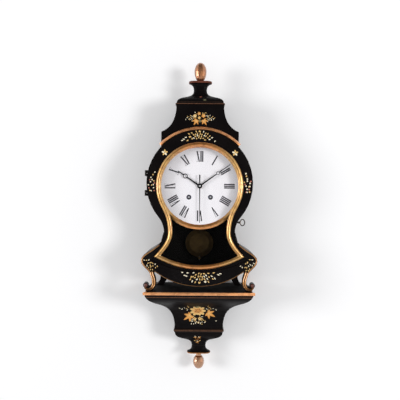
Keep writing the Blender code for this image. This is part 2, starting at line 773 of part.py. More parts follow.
def build_crest():
    front = CREST_CENTRE_Y - CREST_HALF_DEPTH
    back = CREST_CENTRE_Y + CREST_HALF_DEPTH
    top_z = SHELF_TOP_Z + CREST_TOP_HEIGHT
    corner_z = SHELF_TOP_Z + CREST_CORNER_HEIGHT
    seat_radius = RING_RADIUS - CASE_INSET + FIT
    seat_angle = math.acos(CREST_HALF / seat_radius)
    saddle = arc((0.0, RING_Z), seat_radius, 0.5 * math.pi, seat_angle, 14)
    fall = top_z - corner_z
    flare = CREST_HALF - CREST_TOP_HALF
    curve = bezier((CREST_TOP_HALF, top_z), (CREST_TOP_HALF, top_z - 0.54 * fall),
                   (CREST_TOP_HALF + 0.36 * flare, corner_z + 0.13 * fall), (CREST_HALF, corner_z), 10)
    half = curve + list(reversed(saddle))
    right = [point for point in half if point[0] > 1e-6]
    peak = (0.0, RING_Z + seat_radius)
    left = [(-x, z) for x, z in reversed(right)]
    outline = right + [peak] + left
    plate("crest_body", outline, front, back, "lacquer")

    base = top_z + FIT
    rows = []
    for part in range(5):
        swell = DOME_BEAD_RISE * math.sin(math.pi * part / 4)
        half_depth = CREST_TOP_HALF_DEPTH + swell
        z = base + DOME_BEAD_HEIGHT * part / 4
        rows.append((CREST_TOP_HALF + swell, CREST_CENTRE_Y - half_depth, CREST_CENTRE_Y + half_depth,
                     ARRIS_RADIUS, z))
    start = base + DOME_BEAD_HEIGHT
    rise = DOME_HEIGHT - DOME_BEAD_HEIGHT
    curve = bezier((CREST_TOP_HALF, 0.0), (CREST_TOP_HALF, 0.55 * rise), (NECK_HALF, 0.36 * rise),
                   (NECK_HALF, rise), 10)
    for width, height in curve[1:]:
        share = (width - NECK_HALF) / (CREST_TOP_HALF - NECK_HALF)
        half_depth = NECK_DEPTH + share * (CREST_TOP_HALF_DEPTH - NECK_DEPTH)
        corner = 0.9 * NECK_DEPTH * (1 - share) + ARRIS_RADIUS * share
        rows.append((width, CREST_CENTRE_Y - half_depth, CREST_CENTRE_Y + half_depth, corner, start + height))
    rounded_sections("crest_dome", rows, "lacquer")

    cap_z = base + DOME_HEIGHT + FIT
    curve = bezier((NECK_HALF, 0.0), (NECK_HALF, 0.45 * CAP_HEIGHT), (0.7 * CAP_HALF, 0.70 * CAP_HEIGHT),
                   (CAP_HALF, 0.80 * CAP_HEIGHT), 6)
    curve.append((CAP_HALF, CAP_HEIGHT))
    rows = []
    for width, height in curve:
        depth = width * NECK_DEPTH / NECK_HALF
        rows.append((width, CREST_CENTRE_Y - depth, CREST_CENTRE_Y + depth, 0.9 * depth, cap_z + height))
    rounded_sections("crest_cap", rows, "lacquer")

    foot_z = cap_z + CAP_HEIGHT + FIT
    profile = []
    for x, z in arc((0.0, 0.0), 1.0, -0.376 * math.pi, 0.475 * math.pi, 12):
        reach = FINIAL_HEIGHT - FINIAL_BELLY if z > 0 else 1.08 * FINIAL_BELLY
        profile.append((FINIAL_RADIUS * x, foot_z + FINIAL_BELLY + reach * z))
    lathe_z("crest_finial", (0.0, CREST_CENTRE_Y), profile, 16, "gilt")

    inner = RING_RADIUS + DOOR_CLEARANCE
    low = 0.5 * math.pi - ARCH_SPAN
    high = 0.5 * math.pi + ARCH_SPAN
    middle = 0.5 * ARCH_WIDTH
    face = front - FIT
    outer = inner + ARCH_WIDTH
    profile = [(inner, face), (inner, face - 0.75 * ARCH_THICKNESS),
               (inner + 0.4 * middle, face - ARCH_THICKNESS),
               (inner + 1.4 * middle, face - 0.9 * ARCH_THICKNESS),
               (outer, face - 0.5 * ARCH_THICKNESS), (outer, face)]
    loops = []
    steps = 22
    for i in range(steps + 1):
        angle = low + (high - low) * i / steps
        loops.append([(r * math.cos(angle), y, RING_Z + r * math.sin(angle)) for r, y in profile])
    skin("arch_moulding", loops, "gilt")


# Door, hinges and lock


def build_door():
    frame = plate("door_frame", mirrored(door_half(0.0)), DOOR_FRONT_Y, DOOR_BACK_Y, "lacquer")
    sight = mirrored(sight_half())
    opening = offset(sight, GLASS_REBATE)
    cut(frame, plate("opening", opening, DOOR_FRONT_Y - CASE_WALL, DOOR_BACK_Y + CASE_WALL, "lacquer"))
    half = 0.5 * MOULDING_WIDTH
    seat = DOOR_FRONT_Y - FIT
    profile = [(-half, seat), (-half, seat - 0.35 * MOULDING_RISE), (-0.45 * half, seat - MOULDING_RISE),
               (0.35 * half, seat - 0.9 * MOULDING_RISE), (half, seat - 0.3 * MOULDING_RISE), (half, seat)]
    loops = [[(x, y, z) for x, z in offset(sight, d)] for d, y in profile]
    moulding = skin("door_moulding", loops, "gilt", closed=True)
    pane = offset(sight, GLASS_REBATE - FIT)
    glass = plate("door_glass", pane, DOOR_FRONT_Y, DOOR_FRONT_Y + GLASS_THICKNESS, "glass")
    for thing in (frame, moulding, glass):
        set_origin(thing, (HINGE_X, HINGE_Y, RING_Z))
    for label, z in (("upper", RING_Z + HINGE_SPREAD), ("lower", RING_Z - HINGE_SPREAD)):
        build_hinge(label, z)


def ring_cutter(radius, y_front, y_back):
    return plate("ring_cutter", circle((0.0, RING_Z), radius, 96), y_front, y_back, "brass")


def build_hinge(label, z):
    """A leaf with the pin on the case's side, and a leaf with the eye on the door's edge."""
    half = 0.5 * KNUCKLE_HEIGHT
    wall = 0.4 * KNUCKLE_RADIUS
    plate_back = CASE_FRONT_Y + HINGE_LEAF_LENGTH
    fixed = lathe_z(label + "_hinge_leaf", (HINGE_X, HINGE_Y),
                    [(KNUCKLE_RADIUS, z - half), (KNUCKLE_RADIUS, z), (HINGE_PIN_RADIUS, z),
                     (HINGE_PIN_RADIUS, z + half)], 12, "brass")
    top = z - FIT
    join(fixed, box("arm", (HINGE_X - wall, HINGE_Y, z - half), (HINGE_X + wall, plate_back, top), "brass"))
    pad_x = HINGE_X + HINGE_PAD_WIDTH
    pad = box("pad", (HINGE_X, CASE_FRONT_Y + FIT, z - half), (pad_x, plate_back, top), "brass")
    cut(pad, ring_cutter(RING_RADIUS - CASE_INSET + FIT, CASE_FRONT_Y - CASE_WALL, plate_back + CASE_WALL))
    join(fixed, pad)

    low = z + FIT
    high = z + half
    barrel = [(KNUCKLE_RADIUS, low), (KNUCKLE_RADIUS, high)]
    eye = lathe_z(label + "_door_leaf", (HINGE_X, HINGE_Y), barrel, 12, "brass")
    lug_back = DOOR_FRONT_Y + 0.6 * DOOR_THICKNESS
    lug = box("lug", (HINGE_X, HINGE_Y, low), (HINGE_X + HINGE_PAD_WIDTH, lug_back, high), "brass")
    cut(lug, ring_cutter(RING_RADIUS + FIT, DOOR_FRONT_Y - CASE_WALL, DOOR_BACK_Y + CASE_WALL))
    join(eye, lug)
    bore = HINGE_PIN_RADIUS + 0.5 * PIVOT_CLEARANCE
    cut(eye, lathe_z("bore", (HINGE_X, HINGE_Y), [(bore, low - half), (bore, high + half)], 12, "brass"))
    set_origin(eye, (HINGE_X, HINGE_Y, RING_Z))


def build_lock():
    """Key in the case's side, the hook it turns, and the keeper behind the door's edge."""
    face = WAIST_HALF - CASE_INSET - CASE_WALL - RUNNING_CLEARANCE
    collar = KEY_BOW_X - KEY_BOW_HALF_WIDTH
    wide = 1.7 * KEY_SHANK_RADIUS
    shank = [(KEY_SHANK_RADIUS, face + FIT), (KEY_SHANK_RADIUS, collar - KEY_COLLAR),
             (wide, collar - KEY_COLLAR),
             (wide, collar), (KEY_SHANK_RADIUS, collar), (KEY_SHANK_RADIUS, collar + KEY_WIRE_RADIUS)]
    key = tube_x("door_key", (KEY_Y, KEY_Z), shank, 12, "steel")
    join(key, key_bow())
    set_origin(key, (KEY_BOW_X, KEY_Y, KEY_Z))

    centre = (KEY_Y, KEY_Z)
    up = 0.5 * math.pi
    tip = arc(centre, HOOK_RADIUS + HOOK_THICKNESS, up + HOOK_LEAD, up - HOOK_HALF_ARM, 8)
    boss = arc(centre, HOOK_BOSS_RADIUS, up - math.radians(40), up - math.radians(320), 10)
    throat = arc(centre, HOOK_RADIUS, up + HOOK_HALF_ARM, up + HOOK_LEAD, 5)
    loops = [[(x, y, z) for y, z in tip + boss + throat] for x in (face, face - HOOK_WIDTH)]
    set_origin(skin("lock_hook", loops, "steel"), (face, KEY_Y, KEY_Z))

    bar_front = KEY_Y - HOOK_RADIUS * math.cos(HOOK_LEAD) + RUNNING_CLEARANCE
    bar_back = bar_front + KEEPER_THICKNESS
    base = DOOR_BACK_Y + FIT
    bar_top = KEY_Z - HOOK_RADIUS * math.sin(HOOK_HALF_ARM) - 2 * RUNNING_CLEARANCE
    neck_z = KEY_Z - (HOOK_RADIUS + HOOK_THICKNESS) * math.sin(HOOK_LEAD) - 2 * RUNNING_CLEARANCE
    left = face - HOOK_WIDTH
    foot_back = base + KEEPER_THICKNESS
    keeper = box("lock_keeper", (left, base, neck_z - KEEPER_HEIGHT), (face, foot_back, neck_z), "steel")
    join(keeper, box("neck", (left, base, neck_z - KEEPER_THICKNESS), (face, bar_back, neck_z), "steel"))
    join(keeper, box("bar", (left, bar_front, neck_z - KEEPER_THICKNESS), (face, bar_back, bar_top), "steel"))
    set_origin(keeper, (HINGE_X, HINGE_Y, RING_Z))


def key_bow():
    """Oval wire loop of the key, in the plane that faces the viewer."""
    loops = []
    turns = 18
    sides = 5
    for i in range(turns):
        a = 2 * math.pi * i / turns
        ring = []
        for x, y in circle((0.0, 0.0), KEY_WIRE_RADIUS, sides):
            wide = KEY_BOW_HALF_WIDTH - KEY_WIRE_RADIUS + x
            tall = KEY_BOW_HALF_HEIGHT - KEY_WIRE_RADIUS + x
            ring.append((KEY_BOW_X + wide * math.cos(a), KEY_Y + y, KEY_Z + tall * math.sin(a)))
        loops.append(ring)
    return skin("bow", loops, "steel", closed=True)


# Movement


def spot(angle, distance):
    """A point in the dial's plane, by angle and distance from the dial's centre."""
    return (distance * math.cos(angle), DIAL_Z + distance * math.sin(angle))


def going_spot(side):
    return (side * WINDING_HALF_SPACING, DIAL_Z - WINDING_DROP)


def gear_outline(centre, teeth, module, phase):
    """Straight-flanked clock teeth with backlash; one tooth is centred on the phase angle."""
    pitch = 0.5 * teeth * module
    tip = pitch + 0.70 * module
    root = pitch - 1.05 * module
    step = 2 * math.pi / teeth
    points = []
    for i in range(teeth):
        middle = phase + i * step
        for radius, share in ((root, -0.27), (tip, -0.10), (tip, 0.10), (root, 0.27)):
            angle = middle + share * step
            points.append((centre[0] + radius * math.cos(angle), centre[1] + radius * math.sin(angle)))
    return points


def gear(name, centre, teeth, module, phase, y_front, thickness, finish):
    return plate(name, gear_outline(centre, teeth, module, phase), y_front, y_front + thickness, finish)


def bore(target, centre, radius, y_front, y_back):
    reach = PLATE_SPACING
    hole = lathe_y("bore", centre, [(radius, y_front - reach), (radius, y_back + reach)], 10, "brass")
    return cut(target, hole)


def cross_out(target, centre, inner, outer, y_front, thickness):
    """Cut a wheel's disc into four spokes."""
    for quarter in range(4):
        start = (quarter + 0.13) * 0.5 * math.pi
        end = (quarter + 0.87) * 0.5 * math.pi
        outline = arc(centre, outer, start, end, 4) + arc(centre, inner, end, start, 2)
        cut(target, plate("window", outline, y_front - thickness, y_front + 2 * thickness, "brass"))


def build_plates():
    left = -PLATE_HALF_WIDTH
    right = PLATE_HALF_WIDTH
    low = DIAL_Z - PLATE_BOTTOM
    high = DIAL_Z + PLATE_TOP
    inner_front = FRONT_PLATE_Y + PLATE_THICKNESS
    back_rear = BACK_PLATE_Y + PLATE_THICKNESS
    front = box("front_plate", (left, FRONT_PLATE_Y, low), (right, inner_front, high), "brass")
    back = box("back_plate", (left, BACK_PLATE_Y, low), (right, back_rear, high), "brass")
    third = spot(THIRD_ANGLE, third_distance())
    anchor = (0.0, PENDULUM_Z)
    hammer = (HAMMER_X, DIAL_Z + HAMMER_RISE)
    centre = (0.0, DIAL_Z)
    pivots = [(going_spot(1), ARBOR_RADIUS), (going_spot(-1), ARBOR_RADIUS), (third, PIVOT_RADIUS),
              (anchor, ANCHOR_ARBOR_RADIUS), (hammer, PIVOT_RADIUS)]
    for point, radius in pivots + [(centre, CENTRE_TUBE_RADIUS)]:
        bore(front, point, radius + PIVOT_CLEARANCE, FRONT_PLATE_Y, FRONT_PLATE_Y)
    for point, radius in pivots + [(centre, SECONDS_ARBOR_RADIUS)]:
        bore(back, point, radius + PIVOT_CLEARANCE, back_rear, back_rear)
    stud = spot(MOTION_ANGLE, motion_distance())
    stud_end = FRONT_PLATE_Y - STUD_LENGTH
    stem = [(STUD_RADIUS, stud_end), (STUD_RADIUS, inner_front - FIT)]
    join(front, lathe_y("stud", stud, stem, 12, "steel"))
    for i, x in enumerate((left + PILLAR_INSET, right - PILLAR_INSET)):
        for j, z in enumerate((low + PILLAR_INSET, high - PILLAR_INSET)):
            name = ("left", "right")[i] + "_" + ("lower", "upper")[j] + "_pillar"
            build_pillar(name, (x, z), inner_front + FIT, BACK_PLATE_Y - FIT)

    seat_low = SEAT_TOP_Z - SEAT_THICKNESS
    centre_x, bend, angle = fillet(RING_Z, RING_RADIUS - CASE_INSET - CASE_WALL,
                                   WAIST_HALF - CASE_INSET - CASE_WALL, WAIST_Z)
    rise = seat_low - WAIST_Z
    half = centre_x - math.sqrt(bend * bend - rise * rise) - FIT
    box("movement_seat", (-half, inner_front, seat_low), (half, back_rear, SEAT_TOP_Z), "wood")


def build_pillar(name, centre, front, back):
    """Turned pillar with a waist and two collars."""
    length = back - front
    slim = 0.7 * PILLAR_RADIUS
    profile = [(PILLAR_RADIUS, front), (PILLAR_RADIUS, front + 0.12 * length), (slim, front + 0.2 * length),
               (PILLAR_RADIUS, front + 0.5 * length), (slim, front + 0.8 * length),
               (PILLAR_RADIUS, front + 0.88 * length), (PILLAR_RADIUS, back)]
    lathe_y(name, centre, profile, 8, "brass")


def third_distance():
    return 0.5 * (THIRD_TEETH + ESCAPE_LEAVES) * THIRD_MODULE


def motion_distance():
    return 0.5 * (CANNON_TEETH + MINUTE_WHEEL_TEETH) * MOTION_MODULE


def build_train():
    inner = FRONT_PLATE_Y + PLATE_THICKNESS
    rear = BACK_PLATE_Y + PLATE_THICKNESS
    centre = (0.0, DIAL_Z)
    third = spot(THIRD_ANGLE, third_distance())
    great_y = inner + RUNNING_CLEARANCE
    drum_y = great_y + WHEEL_THICKNESS
    strike_drum_y = drum_y + DRUM_GAP
    strike_wheel_y = strike_drum_y + BARREL_LENGTH
    centre_y = strike_wheel_y + WHEEL_THICKNESS + CENTRE_GAP
    third_y = centre_y + WHEEL_LAYER_STEP
    escape_y = third_y + WHEEL_LAYER_STEP

    reach = math.hypot(WINDING_HALF_SPACING, WINDING_DROP)
    great_module = 2 * reach / (GREAT_TEETH + CENTRE_LEAVES)
    to_centre = math.atan2(WINDING_DROP, -WINDING_HALF_SPACING)
    going = gear("going_barrel", going_spot(1), GREAT_TEETH, great_module, to_centre, great_y,
                 WHEEL_THICKNESS, "brass")
    build_drum(going, going_spot(1), drum_y)
    strike = gear("strike_barrel", going_spot(-1), GREAT_TEETH, great_module, 0.0, strike_wheel_y,
                  WHEEL_THICKNESS, "brass")
    build_drum(strike, going_spot(-1), strike_drum_y)
    for side, label in ((1, "going"), (-1, "strike")):
        build_winding_arbor(label + "_arbor", going_spot(side), rear)

    pinion_phase = to_centre + math.pi + math.pi / CENTRE_LEAVES
    wheel = gear("centre_wheel", centre, CENTRE_TEETH, centre_module(), THIRD_ANGLE, centre_y,
                 WHEEL_THICKNESS, "brass")
    rim = 0.5 * CENTRE_TEETH * centre_module() - WHEEL_RIM
    cross_out(wheel, centre, WHEEL_BOSS, rim, centre_y, WHEEL_THICKNESS)
    join(wheel, gear("pinion", centre, CENTRE_LEAVES, great_module, pinion_phase,
                     great_y - 0.5 * RUNNING_CLEARANCE, WHEEL_THICKNESS + RUNNING_CLEARANCE, "steel"))
    tube_back = centre_y + WHEEL_THICKNESS + TUBE_END
    tube = [(CENTRE_TUBE_RADIUS, cannon_front() + CANNON_COVER), (CENTRE_TUBE_RADIUS, tube_back)]
    join(wheel, lathe_y("tube", centre, tube, 12, "steel"))
    bore(wheel, centre, SECONDS_ARBOR_RADIUS + PIVOT_CLEARANCE, cannon_front(), rear)
    set_origin(wheel, (0.0, centre_y, DIAL_Z))

    third_phase = THIRD_ANGLE + math.pi
    wheel = gear("third_wheel", third, THIRD_TEETH, THIRD_MODULE, third_phase, third_y,
                 WHEEL_THICKNESS, "brass")
    rim = 0.5 * THIRD_TEETH * THIRD_MODULE - WHEEL_RIM
    cross_out(wheel, third, WHEEL_BOSS, rim, third_y, WHEEL_THICKNESS)
    join(wheel, gear("pinion", third, THIRD_LEAVES, centre_module(), third_phase + math.pi / THIRD_LEAVES,
                     centre_y - RUNNING_CLEARANCE, WHEEL_THICKNESS + 2 * RUNNING_CLEARANCE, "steel"))
    join(wheel, lathe_y("arbor", third, [(PIVOT_RADIUS, FRONT_PLATE_Y), (PIVOT_RADIUS, rear)], 12, "steel"))
    set_origin(wheel, (third[0], third_y, third[1]))

    wheel = plate("escape_wheel", escape_outline(centre), escape_y, escape_y + WHEEL_THICKNESS, "brass")
    cross_out(wheel, centre, ESCAPE_BOSS, 0.5 * ESCAPE_RADIUS + WHEEL_RIM, escape_y, WHEEL_THICKNESS)
    join(wheel, gear("pinion", centre, ESCAPE_LEAVES, THIRD_MODULE, THIRD_ANGLE + math.pi / ESCAPE_LEAVES,
                     third_y - RUNNING_CLEARANCE, WHEEL_THICKNESS + 2 * RUNNING_CLEARANCE, "steel"))
    arbor = [(SECONDS_ARBOR_RADIUS, seconds_hand_y() - 0.5 * HAND_THICKNESS), (SECONDS_ARBOR_RADIUS, rear)]
    join(wheel, lathe_y("arbor", centre, arbor, 12, "steel"))
    set_origin(wheel, (0.0, escape_y, DIAL_Z))
    build_anchor(escape_y)


def centre_module():
    return 2 * third_distance() / (CENTRE_TEETH + THIRD_LEAVES)


def build_drum(wheel, centre, y):
    drum = [(BARREL_RADIUS, y - FIT), (BARREL_RADIUS, y + BARREL_LENGTH + FIT)]
    join(wheel, lathe_y("drum", centre, drum, 20, "brass"))
    bore(wheel, centre, ARBOR_RADIUS + PIVOT_CLEARANCE, y, y)
    set_origin(wheel, (centre[0], y, centre[1]))


def build_winding_arbor(name, centre, rear):
    """Arbor through the barrel, with a square end in the dial's winding hole."""
    shoulder = FRONT_PLATE_Y - WINDING_SHOULDER
    arbor = lathe_y(name, centre, [(ARBOR_RADIUS, shoulder), (ARBOR_RADIUS, rear)], 12, "steel")
    half = WINDING_SQUARE
    end = DIAL_FRONT_Y + DIAL_THICKNESS * 0.5
    square = box("square", (centre[0] - half, end, centre[1] - half),
                 (centre[0] + half, shoulder + 0.5 * WINDING_SHOULDER, centre[1] + half), "steel")
    join(arbor, square)
    set_origin(arbor, (centre[0], FRONT_PLATE_Y, centre[1]))


def escape_outline(centre):
    """Pointed teeth that lean one way."""
    points = []
    step = 2 * math.pi / ESCAPE_TEETH
    root = ESCAPE_RADIUS - ESCAPE_TOOTH
    for i in range(ESCAPE_TEETH):
        base = i * step
        for radius, share in ((root, 0.05), (root, 0.60), (ESCAPE_RADIUS, 0.88)):
            angle = base + share * step
            points.append((centre[0] + radius * math.cos(angle), centre[1] + radius * math.sin(angle)))
    return points


def build_anchor(escape_y):
    """Anchor over the escape wheel, its arbor, and the crutch that embraces the pendulum rod."""
    axis = (0.0, PENDULUM_Z)
    span = PENDULUM_AXIS_RISE
    pallet = ESCAPE_RADIUS + PALLET_GAP
    half = [(0.0, ANCHOR_CROWN), (0.26 * span, 0.0), (0.54 * span, -0.40 * span), (0.56 * span, -0.65 * span),
            (pallet * math.cos(PALLET_ANGLE), pallet * math.sin(PALLET_ANGLE) - span),
            (0.41 * span, -0.38 * span), (0.18 * span, -0.17 * span), (0.0, -0.13 * span)]
    left = [(-x, z) for x, z in reversed(half) if x > 1e-6]
    outline = [(x, PENDULUM_Z + z) for x, z in half + left]
    anchor = plate("anchor", outline, escape_y, escape_y + WHEEL_THICKNESS, "steel")
    rear = BACK_PLATE_Y + PLATE_THICKNESS
    crutch_y = rear + RUNNING_CLEARANCE
    crutch_back = crutch_y + CRUTCH_THICKNESS
    arbor = [(ANCHOR_ARBOR_RADIUS, FRONT_PLATE_Y), (ANCHOR_ARBOR_RADIUS, crutch_back - FIT)]
    join(anchor, lathe_y("arbor", axis, arbor, 12, "steel"))
    foot = PENDULUM_Z - CRUTCH_LENGTH
    gap = ROD_RADIUS + PIVOT_CLEARANCE
    head = PENDULUM_Z + CRUTCH_HALF
    join(anchor, box("crutch", (-CRUTCH_HALF, crutch_y, foot), (CRUTCH_HALF, crutch_back, head), "steel"))
    for side in (-1, 1):
        inner = side * gap
        outer = side * (gap + PRONG_THICKNESS)
        low = (min(inner, outer), crutch_y, foot)
        high = (max(inner, outer), PENDULUM_Y + ROD_RADIUS, foot + PRONG_HEIGHT)
        join(anchor, box("prong", low, high, "steel"))
    set_origin(anchor, (0.0, rear, PENDULUM_Z))


# Motion work, dial and hands


def cannon_front():
    return minute_hand_y() + 0.5 * HAND_THICKNESS


def hour_hand_y():
    return DIAL_FRONT_Y - HOUR_HAND_STANDOFF - HAND_THICKNESS


def minute_hand_y():
    return hour_hand_y() - HAND_GAP - HAND_THICKNESS


def seconds_hand_y():
    return minute_hand_y() - HAND_GAP - HAND_THICKNESS


def build_motion_work():
    centre = (0.0, DIAL_Z)
    stud = spot(MOTION_ANGLE, motion_distance())
    second_module = 2 * motion_distance() / (MINUTE_PINION_TEETH + HOUR_TEETH)
    gap = MOTION_GAP
    low_y = FRONT_PLATE_Y - gap - WHEEL_THICKNESS
    high_y = low_y - gap - WHEEL_THICKNESS
    back = math.pi + MOTION_ANGLE

    cannon = gear("cannon_pinion", centre, CANNON_TEETH, MOTION_MODULE, MOTION_ANGLE, low_y - 0.5 * gap,
                  WHEEL_THICKNESS + 0.75 * gap, "steel")
    pipe = [(CANNON_RADIUS, minute_hand_y() - 0.5 * HAND_THICKNESS), (CANNON_RADIUS, low_y + WHEEL_THICKNESS)]
    join(cannon, lathe_y("pipe", centre, pipe, 16, "steel"))
    bore(cannon, centre, CENTRE_TUBE_RADIUS + FIT, low_y, low_y)
    set_origin(cannon, (0.0, low_y, DIAL_Z))

    wheel = gear("minute_wheel", stud, MINUTE_WHEEL_TEETH, MOTION_MODULE, back + math.pi / MINUTE_WHEEL_TEETH,
                 low_y, WHEEL_THICKNESS, "brass")
    join(wheel, gear("pinion", stud, MINUTE_PINION_TEETH, second_module, back, high_y - 0.5 * gap,
                     WHEEL_THICKNESS + 1.5 * gap + FIT, "steel"))
    bore(wheel, stud, STUD_RADIUS + 0.5 * PIVOT_CLEARANCE, low_y, low_y)
    set_origin(wheel, (stud[0], low_y, stud[1]))

    hour = gear("hour_wheel", centre, HOUR_TEETH, second_module, MOTION_ANGLE + math.pi / HOUR_TEETH, high_y,
                WHEEL_THICKNESS, "brass")
    pipe = [(HOUR_PIPE_RADIUS, hour_hand_y() - 0.5 * HAND_THICKNESS),
            (HOUR_PIPE_RADIUS, high_y + WHEEL_THICKNESS)]
    join(hour, lathe_y("pipe", centre, pipe, 18, "brass"))
    bore(hour, centre, CANNON_RADIUS + PIVOT_CLEARANCE, low_y, low_y)
    set_origin(hour, (0.0, high_y, DIAL_Z))


def build_dial():
    centre = (0.0, DIAL_Z)
    back = DIAL_FRONT_Y + DIAL_THICKNESS
    dial = lathe_y("dial", centre, [(DIAL_RADIUS, DIAL_FRONT_Y), (DIAL_RADIUS, back)], DIAL_FACETS, "enamel")
    bore(dial, centre, HOUR_PIPE_RADIUS + RUNNING_CLEARANCE, DIAL_FRONT_Y, back)
    for side in (-1, 1):
        bore(dial, going_spot(side), WINDING_HOLE_RADIUS, DIAL_FRONT_Y, back)
    for angle in (45, 135, 225, 315):
        foot = spot(math.radians(angle), DIAL_FOOT_REACH)
        stem = [(DIAL_FOOT_RADIUS, back - FIT), (DIAL_FOOT_RADIUS, FRONT_PLATE_Y - FIT)]
        join(dial, lathe_y("foot", foot, stem, 8, "brass"))

    seat = DIAL_FRONT_Y - FIT
    width = BEZEL_OUTER - BEZEL_INNER
    profile = [(BEZEL_INNER, seat), (BEZEL_INNER + 0.1 * width, seat - 0.4 * BEZEL_THICKNESS),
               (BEZEL_INNER + 0.5 * width, seat - BEZEL_THICKNESS),
               (BEZEL_OUTER, seat - 0.6 * BEZEL_THICKNESS),
               (BEZEL_OUTER, back), (DIAL_RADIUS + FIT, back), (DIAL_RADIUS + FIT, seat)]
    lathe_y("dial_bezel", centre, profile, DIAL_FACETS, "gilt", closed=True)


def hand_blade(name, angle, y, start, end, root_half, tip_half):
    """A tapering bar that points at a clockwise angle from twelve o'clock."""
    outline = []
    for along, across in ((start, -root_half), (start, root_half), (end, tip_half), (end, -tip_half)):
        x = along * math.sin(angle) + across * math.cos(angle)
        z = along * math.cos(angle) - across * math.sin(angle)
        outline.append((x, DIAL_Z + z))
    return plate(name, outline, y, y + HAND_THICKNESS, "blued")


def hand_ring(angle, y, reach, radius, hole):
    """Open moon on a hand."""
    centre = (reach * math.sin(angle), DIAL_Z + reach * math.cos(angle))
    profile = [(hole, y), (radius, y), (radius, y + HAND_THICKNESS), (hole, y + HAND_THICKNESS)]
    return lathe_y("moon", centre, profile, 14, "blued", closed=True)


def build_moon_hand(name, y, angle, length, moon_reach, moon_radius, eye_radius, hole, half):
    hand = hand_ring(0.0, y, 0.0, eye_radius, hole)
    hand.name = name
    hand.data.name = name
    hand.data.materials.clear()
    hand.data.materials.append(material(name + "_finish", *FINISHES["blued"]))
    wall = 0.30 * moon_radius
    join(hand, hand_ring(angle, y, moon_reach, moon_radius, moon_radius - wall))
    near = moon_reach - moon_radius + 0.5 * wall
    far = moon_reach + moon_radius - 0.5 * wall
    middle = 0.5 * (eye_radius + hole)
    join(hand, hand_blade("blade", angle, y, middle, near, half, 0.7 * half))
    join(hand, hand_blade("tip", angle, y, far, length, 0.8 * half, 0.35 * half))
    return set_origin(hand, (0.0, y, DIAL_Z))


def build_hands():
    build_moon_hand("hour_hand", hour_hand_y(), HOUR_REST, HOUR_HAND_LENGTH, HOUR_MOON_REACH,
                    HOUR_MOON_RADIUS, HOUR_PIPE_RADIUS + HAND_EYE_RIM, HOUR_PIPE_RADIUS + 0.5 * FIT,
                    HOUR_HAND_HALF)
    build_moon_hand("minute_hand", minute_hand_y(), MINUTE_REST, MINUTE_HAND_LENGTH, MINUTE_MOON_REACH,
                    MINUTE_MOON_RADIUS, CANNON_RADIUS + HAND_EYE_RIM, CANNON_RADIUS + 0.5 * FIT,
                    MINUTE_HAND_HALF)
    y = seconds_hand_y()
    eye = SECONDS_ARBOR_RADIUS + HAND_EYE_RIM
    hole = SECONDS_ARBOR_RADIUS + 0.5 * FIT
    back = y + HAND_THICKNESS
    loop = [(hole, y), (eye, y), (eye, back), (hole, back)]
    hand = lathe_y("seconds_hand", (0.0, DIAL_Z), loop, 14, "blued", closed=True)
    middle = 0.5 * (eye + hole)
    join(hand, hand_blade("blade", SECONDS_REST, y, middle, SECONDS_HAND_LENGTH, SECONDS_HAND_HALF,
                          0.5 * SECONDS_HAND_HALF))
    join(hand, hand_blade("tail", SECONDS_REST + math.pi, y, middle, SECONDS_TAIL, SECONDS_HAND_HALF,
                          SECONDS_PAD_HALF))
    set_origin(hand, (0.0, y, DIAL_Z))


# Pendulum and strike


